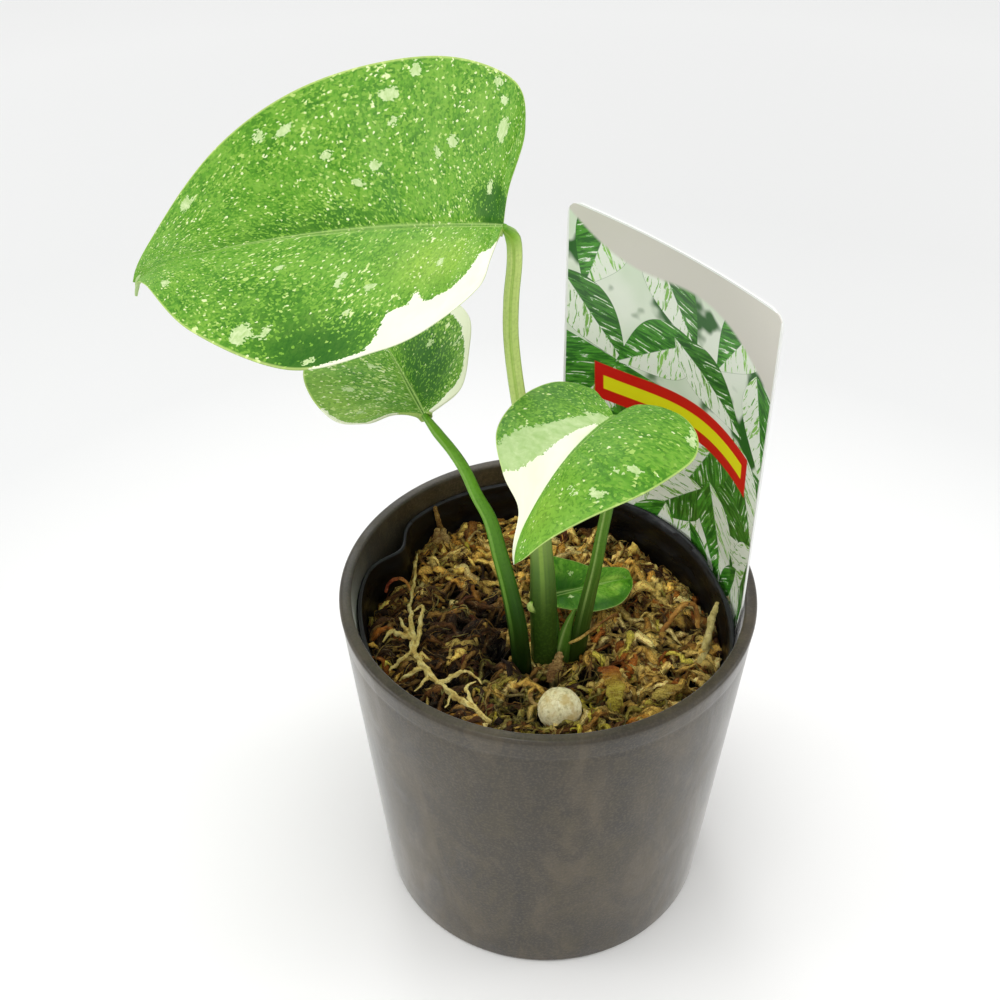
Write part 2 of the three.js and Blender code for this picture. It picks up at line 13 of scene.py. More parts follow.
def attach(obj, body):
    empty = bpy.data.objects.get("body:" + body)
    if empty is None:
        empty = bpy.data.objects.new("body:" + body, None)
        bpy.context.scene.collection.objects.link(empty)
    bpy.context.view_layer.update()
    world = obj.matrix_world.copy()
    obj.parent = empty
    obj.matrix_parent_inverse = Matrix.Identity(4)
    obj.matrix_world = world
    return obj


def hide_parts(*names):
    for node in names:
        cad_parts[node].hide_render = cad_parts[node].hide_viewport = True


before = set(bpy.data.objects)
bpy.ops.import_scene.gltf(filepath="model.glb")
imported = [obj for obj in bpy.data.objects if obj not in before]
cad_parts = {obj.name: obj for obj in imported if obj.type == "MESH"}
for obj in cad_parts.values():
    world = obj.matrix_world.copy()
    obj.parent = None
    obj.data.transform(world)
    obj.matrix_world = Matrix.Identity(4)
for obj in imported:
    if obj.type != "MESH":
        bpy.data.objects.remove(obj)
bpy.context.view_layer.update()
mm = 0.001
noise.seed_set(5)        # noise_vector takes its offsets from the clock otherwise
print("frame loaded:", len(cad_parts), "nodes")


# small helpers

def smooth(value, low, high):
    share = min(max((value - low) / (high - low), 0.0), 1.0)
    return share * share * (3 - 2 * share)


def mixed(a, b, share):
    return a + (b - a) * share


def curvePoint(points, t):
    # Catmull-Rom through all the points, t from 0 to 1
    spans = len(points) - 1
    place = min(max(t, 0.0), 1.0) * spans
    index = min(int(place), spans - 1)
    u = place - index
    before = points[index - 1] if index > 0 else 2 * points[0] - points[1]
    after = points[index + 2] if index + 2 <= spans else 2 * points[-1] - points[-2]
    a, b = points[index], points[index + 1]
    return 0.5 * (2 * a + (b - before) * u + (2 * before - 5 * a + 4 * b - after) * u ** 2
                  + (3 * a - before - 3 * b + after) * u ** 3)


def sheet(bm, rows, columns, place, slot=0):
    # a grid whose vertices are moved to place(row, column), both from 0 to 1
    known = set(bm.faces)
    made = bmesh.ops.create_grid(bm, x_segments=rows, y_segments=columns, size=0.5, calc_uvs=False)
    uv = bm.loops.layers.uv.verify()
    fresh = [f for f in bm.faces if f not in known]
    for face in fresh:
        face.material_index = slot
        for loop in face.loops:
            loop[uv].uv = (loop.vert.co.x + 0.5, loop.vert.co.y + 0.5)
    for vert in made["verts"]:
        vert.co = place(vert.co.x + 0.5, vert.co.y + 0.5)
    return made["verts"], fresh


def addObject(name, data):
    thing = bpy.data.objects.new(name, data)
    bpy.context.scene.collection.objects.link(thing)
    return thing


def meshFrom(name, bm, scale=1.0):
    bmesh.ops.scale(bm, vec=(scale, scale, scale), verts=bm.verts)
    mesh = bpy.data.meshes.new(name)
    bm.to_mesh(mesh)
    bm.free()
    return mesh


def smoothMesh(mesh, sharpAngle):
    mesh.polygons.foreach_set("use_smooth", [True] * len(mesh.polygons))
    mesh.set_sharp_from_angle(angle=math.radians(sharpAngle))


def finishPiece(name, bm, materials, slot, nodes, sharpAngle=50):
    return dressMesh(name, meshFrom(name, bm, mm), materials, slot, nodes, sharpAngle)


def dressMesh(name, mesh, materials, slot, nodes, sharpAngle):
    for material in materials:
        mesh.materials.append(material)
    smoothMesh(mesh, sharpAngle)
    piece = addObject(name, mesh)
    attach(piece, "root")
    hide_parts(*nodes)
    print(f"{name}: {sum(len(p.vertices) - 2 for p in mesh.polygons)} triangles")
    return piece


def closeUp(bm, distance=1e-4):
    bmesh.ops.remove_doubles(bm, verts=bm.verts, dist=distance)
    bmesh.ops.dissolve_degenerate(bm, dist=distance * 0.1, edges=bm.edges)
    bmesh.ops.recalc_face_normals(bm, faces=bm.faces)


# material helpers

def linear(red, green, blue):
    # display colour 0 to 255 to a linear colour
    return tuple((c / 255 / 12.92 if c <= 10 else ((c / 255 + 0.055) / 1.055) ** 2.4)
                 for c in (red, green, blue)) + (1.0,)


def ink(colour):
    # display colours become linear; sockets and linear colours stay
    return linear(*colour) if isinstance(colour, tuple) and len(colour) == 3 else colour


def startMaterial(name, **shaderValues):
    material = bpy.data.materials.new(name)
    material.use_nodes = True
    tree = material.node_tree
    shader = tree.nodes["Principled BSDF"]
    for socket, value in shaderValues.items():
        shader.inputs[socket.replace("_", " ")].default_value = value
    return material, tree, shader


def put(tree, kind, values=None, **settings):
    node = tree.nodes.new(kind)
    for key, value in settings.items():
        setattr(node, key, value)
    for socket, value in (values or {}).items():
        if isinstance(value, bpy.types.NodeSocket):
            tree.links.new(value, node.inputs[socket])
        else:
            node.inputs[socket].default_value = value
    return node


def maths(tree, operation, a, b=0.0):
    return put(tree, "ShaderNodeMath", {0: a, 1: b}, operation=operation).outputs[0]


def times(tree, a, b):
    return maths(tree, "MULTIPLY", a, b)


def plus(tree, a, b):
    return maths(tree, "ADD", a, b)


def minus(tree, a, b):
    return maths(tree, "SUBTRACT", a, b)


def above(tree, value, limit):
    return maths(tree, "GREATER_THAN", value, limit)


def split(tree, vector):
    return put(tree, "ShaderNodeSeparateXYZ", {0: vector}).outputs


def attribute(tree, name, output="Fac"):
    return put(tree, "ShaderNodeAttribute", attribute_name=name).outputs[output]


def scaled(tree, vector, scale):
    return put(tree, "ShaderNodeMapping", {"Vector": vector, "Scale": scale}).outputs[0]


def uvPlace(tree, name, scale=(1, 1, 1)):
    return scaled(tree, put(tree, "ShaderNodeUVMap", uv_map=name).outputs["UV"], scale)


def objectPlace(tree, scale=(1, 1, 1)):
    return scaled(tree, put(tree, "ShaderNodeTexCoord").outputs["Object"], scale)


def cloud(tree, vector, scale, detail=3.0, rough=0.5, distortion=0.0):
    return put(tree, "ShaderNodeTexNoise", {"Vector": vector, "Scale": scale, "Detail": detail,
                                            "Roughness": rough, "Distortion": distortion}).outputs["Fac"]


def ramp(tree, factor, stops):
    node = put(tree, "ShaderNodeValToRGB", {"Fac": factor})
    band = node.color_ramp
    while len(band.elements) < len(stops):
        band.elements.new(0.5)
    for element, (position, colour) in zip(band.elements, stops):
        element.position = position
        element.color = ink(colour)
    return node.outputs["Color"]


def stretch(tree, value, low, high, newLow=0.0, newHigh=1.0, soft=True):
    kind = "SMOOTHSTEP" if soft else "LINEAR"
    return put(tree, "ShaderNodeMapRange", {"Value": value, 1: low, 2: high, 3: newLow, 4: newHigh},
               interpolation_type=kind).outputs[0]


def blend(tree, factor, a, b, how="MIX"):
    node = put(tree, "ShaderNodeMix", data_type="RGBA", blend_type=how)
    for index, value in ((0, factor), (6, ink(a)), (7, ink(b))):
        if isinstance(value, bpy.types.NodeSocket):
            tree.links.new(value, node.inputs[index])
        else:
            node.inputs[index].default_value = value
    return node.outputs[2]


def paint(tree, shader, colour, roughness=None):
    tree.links.new(colour, shader.inputs["Base Color"])
    if roughness is not None:
        tree.links.new(roughness, shader.inputs["Roughness"])


def relief(tree, shader, height, strength, distance):
    grain = put(tree, "ShaderNodeBump", {"Height": height, "Strength": strength, "Distance": distance})
    tree.links.new(grain.outputs[0], shader.inputs["Normal"])


# camera, light and floor

view = {
    "eye": (-11.83, -270.66, 353.21),  # mm
    "pitch": 39.95,                    # degrees below the horizon
    "roll": 0.433,
    "lens": 52.956,
    "sensor": 36, "nearest": 0.01, "farthest": 20,
}


def placeCamera():
    pitch, roll = math.radians(view["pitch"]), math.radians(view["roll"])
    forward = Vector((0, math.cos(pitch), -math.sin(pitch)))
    level = Vector((1, 0, 0))
    down = forward.cross(level)
    right = math.cos(roll) * level + math.sin(roll) * down
    below = -math.sin(roll) * level + math.cos(roll) * down
    data = bpy.data.cameras.new("camera")
    data.lens = view["lens"]
    data.sensor_width = view["sensor"]
    data.clip_start, data.clip_end = view["nearest"], view["farthest"]
    camera = addObject("camera", data)
    turn = Matrix((right, -below, -forward)).transposed().to_4x4()
    camera.matrix_world = Matrix.Translation(Vector(view["eye"]) * mm) @ turn
    bpy.context.scene.camera = camera


lights = {
    "overhead": {"at": (-0.12, -0.02, 1.25), "aim": (0, 0, 0.1), "size": 0.55, "power": 3.9},
    "front": {"at": (-0.5, -1.4, 0.9), "aim": (0, 0, 0.15), "size": 0.8, "power": 1.8},
    "left": {"at": (-1.3, 0.0, 0.62), "aim": (0, 0, 0.08), "size": 0.7, "power": 24.0, "cone": 34},
    "right": {"at": (1.3, 0.1, 0.62), "aim": (0, 0, 0.08), "size": 0.7, "power": 19.0, "cone": 34},
    "back": {"at": (-0.25, 1.2, 1.1), "aim": (0, -0.05, 0.1), "size": 0.6, "power": 15.0, "cone": 30},
}
tent = {"colour": (0.99, 0.99, 0.985, 1), "strength": 0.76}  # soft light from all round


def placeLights():
    for name, light in lights.items():
        data = bpy.data.lights.new(name, "SPOT" if "cone" in light else "AREA")
        data.energy = light["power"]
        if "cone" in light:
            data.spot_size, data.spot_blend = math.radians(light["cone"]), 1.0
            data.shadow_soft_size = light["size"] / 2
        else:
            data.size = light["size"]
        lamp = addObject(name, data)
        lamp.location = light["at"]
        aim = Vector(light["aim"]) - Vector(light["at"])
        lamp.rotation_mode = "QUATERNION"
        lamp.rotation_quaternion = aim.to_track_quat("-Z", "Y")
    world = bpy.data.worlds.new("lightTent")
    world.use_nodes = True
    sky = world.node_tree.nodes["Background"]
    sky.inputs["Color"].default_value = tent["colour"]
    sky.inputs["Strength"].default_value = tent["strength"]
    bpy.context.scene.world = world
    bpy.context.scene.view_settings.view_transform = "Standard"


paper = {
    "size": 6.0,  # metres
    # The floor is lighter near the pot, darker farther out and lighter again beyond: painted light that evens out the
    # pot's shadow and the lamps' pool.
    "fade": [(0.12, (0.985, 0.985, 0.975, 1)), (0.26, (0.82, 0.825, 0.825, 1)),
             (0.38, (0.83, 0.835, 0.835, 1)), (0.62, (0.95, 0.955, 0.955, 1))],  # metres from the pot, linear colour
    "cloudColour": (0.9, 0.9, 0.89, 1), "cloudSize": 1.4, "cloudShare": 0.08,
}


def placeFloor():
    material, tree, shader = startMaterial("studioPaper", Roughness=0.9)
    at = objectPlace(tree)
    away = put(tree, "ShaderNodeVectorMath", {0: at}, operation="LENGTH").outputs["Value"]
    clouds = times(tree, cloud(tree, at, paper["cloudSize"], 1.0), paper["cloudShare"])
    # painted light: the fade lightens the floor by the pot and darkens it farther out
    paint(tree, shader, blend(tree, clouds, ramp(tree, away, paper["fade"]), paper["cloudColour"]))
    bm = bmesh.new()
    bmesh.ops.create_grid(bm, x_segments=8, y_segments=8, size=paper["size"])
    floor = addObject("floor", meshFrom("floor", bm))
    floor.data.materials.append(material)


placeCamera()
placeLights()
placeFloor()
print("camera, lights and floor placed")


# outer pot

pot = {
    "height": 98.9, "baseRadius": 44.6, "rimRadius": 52.5,
    "wall": 3.1, "floor": 3.5, "edgeRound": 1.0,
    "bandHeight": 6.0, "bandProud": 0.07, "innerRound": 0.7,
    "drains": {"count": 4, "radius": 4.0, "circle": 24.0, "middle": 1.75, "depth": 14},
    "steps": 144,
    "clouds": [(0.34, (33, 27, 15)), (0.5, (50, 42, 25)), (0.64, (74, 63, 42))],
    "swirl": (75, 68, 49), "speck": (36, 32, 23), "grain": (98, 86, 66),
    # The rim top is greyed and lightened as painted light on the rim.
    "paintedRimLight": (62, 56, 46), "paintedRimLightFrom": (0.0968, 0.0982),  # metres up
}


def potRadius(z):
    return pot["baseRadius"] + (pot["rimRadius"] - pot["baseRadius"]) * z / pot["height"]


def potProfile():
    height, wall, floor, edge = pot["height"], pot["wall"], pot["floor"], pot["edgeRound"]
    bandBottom = height - pot["bandHeight"]
    line = [(0, 0), (20, 0), (34, 0), (42.2, 0)]
    for step in range(5):  # rounded foot
        angle = math.radians(90 * step / 4)
        line.append((potRadius(edge) - edge + edge * math.sin(angle), edge - edge * math.cos(angle)))
    line += [(potRadius(z), z) for z in np.linspace(edge + 6, bandBottom - 4, 12)]
    proud = pot["bandProud"]
    line += [(potRadius(bandBottom - 1.2) - proud * 0.4, bandBottom - 1.2),
             (potRadius(bandBottom - 0.4) - proud, bandBottom - 0.4),
             (potRadius(bandBottom) - proud * 0.5, bandBottom),
             (potRadius(bandBottom + 0.5), bandBottom + 0.5),
             (potRadius(height - edge - 1.5), height - edge - 1.5)]
    for step in range(6):  # rounded rim, outer edge
        angle = math.radians(90 * step / 5)
        line.append((pot["rimRadius"] - edge + edge * math.cos(angle), height - edge + edge * math.sin(angle)))
    inner, soft = potRadius(height) - wall, pot["innerRound"]
    for step in range(5):  # rim, inner edge
        angle = math.radians(90 * step / 4)
        line.append((inner + soft - soft * math.sin(angle), height - soft + soft * math.cos(angle)))
    line += [(potRadius(z) - wall, z) for z in np.linspace(height - 4, floor + 3, 8)]
    inner = potRadius(floor) - wall
    return line + [(inner - 1.2, floor + 0.4), (inner - 3, floor), (20, floor), (0, floor)]


def drill(piece, drains):
    # cuts a ring of drain holes and keeps the result in the piece's mesh
    bm = bmesh.new()
    circle, radius = drains["circle"], drains["radius"] * mm
    for index in range(drains["count"]):
        angle = (index + 0.5) / drains["count"] * 2 * math.pi
        at = (circle * math.cos(angle) * mm, circle * math.sin(angle) * mm, drains["middle"] * mm)
        bmesh.ops.create_cone(bm, cap_ends=True, segments=28, radius1=radius, radius2=radius,
                              depth=drains["depth"] * mm, matrix=Matrix.Translation(at))
    drills = addObject("drills", meshFrom("drills", bm))
    cut = piece.modifiers.new("drains", "BOOLEAN")
    cut.object = drills
    cut.solver = "EXACT"
    bpy.context.view_layer.update()
    result = bpy.data.meshes.new_from_object(piece.evaluated_get(bpy.context.evaluated_depsgraph_get()))
    piece.modifiers.clear()
    piece.data = result
    bpy.data.objects.remove(drills)
    smoothMesh(result, 50)


def cloudyPlastic():
    material, tree, shader = startMaterial("cloudyGreyPlastic", Roughness=0.42,
                                           Sheen_Weight=0.8, Sheen_Roughness=0.28)
    at = objectPlace(tree)
    tall = objectPlace(tree, (1, 1, 0.4))
    mottle = cloud(tree, tall, 52, 5, 0.62, 1.6)
    swirl = cloud(tree, tall, 110, 4, 0.65, 1.2)
    grain = cloud(tree, at, 1500, 2, 0.6)
    speck = cloud(tree, at, 420, 4, 0.75)
    base = ramp(tree, mottle, pot["clouds"])
    base = blend(tree, stretch(tree, swirl, 0.42, 0.68, 0.0, 0.5), base, pot["swirl"])
    base = blend(tree, stretch(tree, speck, 0.5, 0.68, 0.0, 0.32), base, pot["speck"])
    base = blend(tree, stretch(tree, grain, 0.45, 0.65, 0.0, 0.34), base, pot["grain"])
    # painted light: the rim top is blended towards a lighter grey
    base = blend(tree, stretch(tree, split(tree, at)[2], *pot["paintedRimLightFrom"], 0.0, 0.4), base, pot["paintedRimLight"])
    paint(tree, shader, base, stretch(tree, swirl, 0.3, 0.7, 0.36, 0.5))
    relief(tree, shader, grain, 0.15, 0.0002)
    return material


def buildPot():
    bm = bmesh.new()
    verts = [bm.verts.new((r, 0, z)) for r, z in potProfile()]
    edges = [bm.edges.new(pair) for pair in zip(verts, verts[1:])]
    bmesh.ops.spin(bm, geom=verts + edges, cent=(0, 0, 0), axis=(0, 0, 1), angle=2 * math.pi,
                   steps=pot["steps"], use_merge=True)
    closeUp(bm, 1e-3)
    drill(finishPiece("moulded_pot", bm, [cloudyPlastic()], "outer_pot", ["outer_pot"]), pot["drains"])


buildPot()


# nursery liner

liner = {
    "bottom": 3.8, "baseRadius": 36.0, "topRadius": 48.6, "topHeight": 93.0,
    "wall": 0.7, "floor": 1.2, "lipRise": 0.35, "lipSpread": 0.05,
    "drains": {"count": 5, "radius": 3.5, "circle": 22.0, "middle": 4.4, "depth": 5},
    "pushDepth": 5.0, "pushFrom": (-24, 16), "pushTo": (86, 102), "pushStart": 30, "pushFull": 78,
    "dentDepth": 5.0, "dentAngle": 152, "dentSpread": 8,
    "around": 180, "rows": 150, "floorRows": 0.06, "wallRows": 0.40, "lipRows": 0.08,  # shares of the rows
    "ribPitch": 1.9, "ribDepth": 0.24, "ribbed": (62, 70),
    "film": [(0.35, (3, 3, 4)), (0.65, (9, 9, 11))], "dust": (60, 54, 44),
    # The lip colour is a painted highlight, a bluish grey along the liner's top edge.
    "lip": (70, 74, 80), "lipHighlightFrom": (0.0918, 0.0928),  # metres up
}


def linerRadius(angle, z):
    degrees = math.degrees(math.atan2(math.sin(angle), math.cos(angle)))
    share = (z - liner["bottom"]) / (liner["topHeight"] - liner["bottom"])
    cone = liner["baseRadius"] + (liner["topRadius"] - liner["baseRadius"]) * share
    fade = smooth(z, liner["pushStart"], liner["pushFull"])
    side = smooth(degrees, *liner["pushFrom"]) * (1 - smooth(degrees, *liner["pushTo"]))
    notch = math.exp(-((degrees - liner["dentAngle"]) / liner["dentSpread"]) ** 2)
    wave = 0.25 * math.sin(7 * angle) * share
    widest = potRadius(z) - pot["wall"] - 0.3
    return min(cone + wave, widest) - fade * (liner["pushDepth"] * side + liner["dentDepth"] * notch)


def linerTop(angle):
    return liner["topHeight"] + 1.2 * math.cos(angle - math.radians(35)) + 0.5 * math.sin(3 * angle)


def linerPlace(row, column):
    # row runs from under the floor, up the outside, over the lip, down the inside to the floor
    angle, low, wall = column * 2 * math.pi, liner["bottom"], liner["wall"]
    floorRows, wallRows, rise, spread = liner["floorRows"], liner["wallRows"], liner["lipRise"], liner["lipSpread"]
    top = linerTop(angle)
    if row < floorRows:
        return ringPoint(angle, (linerRadius(angle, low) - 0.8) * row / floorRows, low)
    if row > 1 - floorRows:
        inner = linerRadius(angle, low) - 2 * wall
        return ringPoint(angle, inner * (1 - row) / floorRows, low + liner["floor"])
    if row <= floorRows + wallRows:
        z = mixed(low + 0.4, top - rise, (row - floorRows) / wallRows)
        return ringPoint(angle, linerRadius(angle, z) - ribs(z, angle), z)
    if row < floorRows + wallRows + liner["lipRows"]:
        turn = (row - floorRows - wallRows) / liner["lipRows"] * math.pi
        middle = linerRadius(angle, top) - wall / 2 + spread
        return ringPoint(angle, middle + math.cos(turn) * (wall / 2 + spread), top - rise + rise * math.sin(turn))
    z = mixed(low + liner["floor"] + 0.6, top - rise, (1 - floorRows - row) / wallRows)
    return ringPoint(angle, linerRadius(angle, z) - ribs(z, angle) - wall, z)


def ribs(z, angle):
    drift = 0.6 * math.sin(2 * angle + 0.5)
    wave = 1 + math.sin(2 * math.pi * (z + drift) / liner["ribPitch"])
    return liner["ribDepth"] * smooth(z, *liner["ribbed"]) * wave


def ringPoint(angle, radius, z):
    return Vector((radius * math.cos(angle), radius * math.sin(angle), z))


def blackFilm():
    material, tree, shader = startMaterial("blackFilm", Roughness=0.34, Specular_IOR_Level=0.32)
    at = objectPlace(tree)
    scuff = cloud(tree, objectPlace(tree, (1, 1, 3)), 150, 5, 0.7, 0.8)
    dust = cloud(tree, at, 900, 3, 0.7)
    base = ramp(tree, scuff, liner["film"])
    base = blend(tree, stretch(tree, dust, 0.60, 0.78, 0.0, 0.25), base, liner["dust"])
    # painted highlight along the lip, broken up by the scuffs
    lip = stretch(tree, split(tree, at)[2], *liner["lipHighlightFrom"], 0.0, 0.3)
    base = blend(tree, times(tree, lip, stretch(tree, scuff, 0.35, 0.6, 0.3, 1.0)), base, liner["lip"])
    paint(tree, shader, base, stretch(tree, scuff, 0.3, 0.7, 0.26, 0.5))
    relief(tree, shader, scuff, 0.35, 0.0004)
    return material


def buildLiner():
    bm = bmesh.new()
    sheet(bm, liner["rows"], liner["around"], linerPlace)
    closeUp(bm, 1e-3)
    drill(finishPiece("nursery_film", bm, [blackFilm()], "nursery_liner", ["nursery_liner"], 75), liner["drains"])


buildLiner()


# moss bed

moss = {
    "level": 85.0, "frontRise": 4.0, "front": (18, 44), "backFall": 2.4, "back": (10, 44),
    "dips": [(0.3, -10.6, 12, 2.6), (40, 27, 9, 9.0), (45, 11, 6, 7.0), (-45, 12, 10, 6.0)],  # x, y, spread, depth
    "pits": [(-12.6, 1.7, 3.4, 5.0), (-11.4, -9.4, 4.0, 6.0), (-14.9, 20.1, 2.6, 3.0), (0.8, -18.5, 3.2, 4.0),
             (-21.9, -0.7, 2.4, 3.5), (-22.9, -19.6, 3.2, 3.5), (-31.7, -23.5, 3.0, 3.5), (-14.8, -16.2, 2.2, 4.0),
             (-19.6, 19.1, 1.8, 3.0), (-4.6, -34.4, 2.0, 3.5), (-8.6, -26.5, 2.2, 4.0), (-9.8, -33.4, 2.0, 4.0),
             (-23.8, 11.7, 1.7, 3.5), (-28.1, -18.0, 1.8, 3.5), (-31.0, -29.7, 2.0, 4.0),
             (14.4, -8.9, 1.9, 5.5), (20.4, -21.2, 1.5, 5.0), (30.3, -9.6, 1.8, 5.0), (38.0, -1.5, 2.8, 5.0),
             (9.4, -8.6, 1.7, 5.0), (26.9, 4.4, 1.7, 4.5), (8.4, -18.3, 1.5, 4.0), (44.0, -5.3, 2.2, 4.5),
             (17.8, -3.6, 1.5, 4.5), (23.4, -8.6, 1.5, 4.5), (29.9, -17.6, 1.4, 4.5), (35.1, -13.4, 1.4, 4.5),
             (35.5, -22.3, 1.4, 4.0), (26.5, -27.5, 1.5, 4.0), (16.5, -14.5, 1.3, 4.0), (24, 17, 1.8, 3.5)],
    "holeEdge": 1.35,  # how far strands stay off a small hole
    "warmth": (1.32, 1.22, 0.86),  # how dyes are shifted towards dry straw
    "around": 200, "rows": 128, "floorRows": 0.06, "sideRows": 0.24,  # shares of the rows
    "inset": 1.31, "bedDrop": 3.2,
    # The peat colours are dark brown peat, made near black as painted shade in the gaps between strands.
    "peat": [(20, 12, 6), (48, 32, 15), (11, 7, 4)],
}


def bump(x, y, atX, atY, spread):
    return math.exp(-((x - atX) ** 2 + (y - atY) ** 2) / spread ** 2)


def mossHeight(x, y):
    slope = moss["frontRise"] * smooth(-y, *moss["front"]) - moss["backFall"] * smooth(y, *moss["back"])
    dips = sum(depth * bump(x, y, atX, atY, spread) for atX, atY, spread, depth in moss["dips"])
    lumps = (0.55 * math.sin(0.55 * x + 1.3 * math.sin(0.31 * y))
             + 0.55 * math.sin(0.5 * y + 1.1 * math.sin(0.37 * x) + 2)
             + 0.45 * math.sin(0.8 * (x + y)) * math.cos(0.7 * (x - y)))
    return moss["level"] + slope - dips + lumps


def pitDepth(x, y):
    return sum(depth * bump(x, y, atX, atY, spread) for atX, atY, spread, depth in moss["pits"])


def mossRough(x, y):
    # clumps a few millimetres wide, and the dark pits
    at = Vector((x, y, 0))
    clump = noise.noise(at * 0.16 + Vector((3, 7, 1)))
    tuft = noise.noise(at * 0.45 + Vector((9, 2, 5)))
    return 1.8 * clump + 0.9 * tuft - 0.4 - pitDepth(x, y)


def bedPlace(row, column):
    angle = column * 2 * math.pi
    bottom = liner["bottom"] + liner["floor"] + 0.3
    floorRows, sideRows = moss["floorRows"], moss["sideRows"]
    edge = linerRadius(angle, moss["level"]) - moss["inset"]
    if row < floorRows:
        return ringPoint(angle, (linerRadius(angle, bottom) - moss["inset"]) * row / floorRows, bottom)
    if row < floorRows + sideRows:
        lip = mossHeight(edge * math.cos(angle), edge * math.sin(angle)) - moss["bedDrop"] - 0.6
        z = mixed(bottom, lip, (row - floorRows) / sideRows)
        return ringPoint(angle, linerRadius(angle, z) - moss["inset"], z)
    radius = edge * ((1 - row) / (1 - floorRows - sideRows)) ** 0.85
    x, y = radius * math.cos(angle), radius * math.sin(angle)
    lump = 0.9 * noise.noise(Vector((x, y, 4)) * 0.9)
    return Vector((x, y, mossHeight(x, y) + mossRough(x, y) + lump - moss["bedDrop"]))


def peat():
    material, tree, shader = startMaterial("peatyMossPaintedShade", Roughness=0.95)
    at = objectPlace(tree)
    fine = cloud(tree, at, 1500, 3, 0.7)
    patch = cloud(tree, at, 260, 4, 0.65, 0.6)
    # the near-black gap shade is painted shade in the moss gaps
    dark, brown, gapShade = moss["peat"]
    colour = blend(tree, stretch(tree, patch, 0.35, 0.65), dark, brown)
    paint(tree, shader, blend(tree, stretch(tree, fine, 0.4, 0.68, 0.0, 0.7), colour, gapShade))
    relief(tree, shader, fine, 0.8, 0.0006)
    return material


def buildBed():
    bm = bmesh.new()
    sheet(bm, moss["rows"], moss["around"], bedPlace)
    closeUp(bm, 1e-3)
    finishPiece("moss_bed", bm, [peat()], "growing_medium", ["growing_medium"], 80)


buildBed()
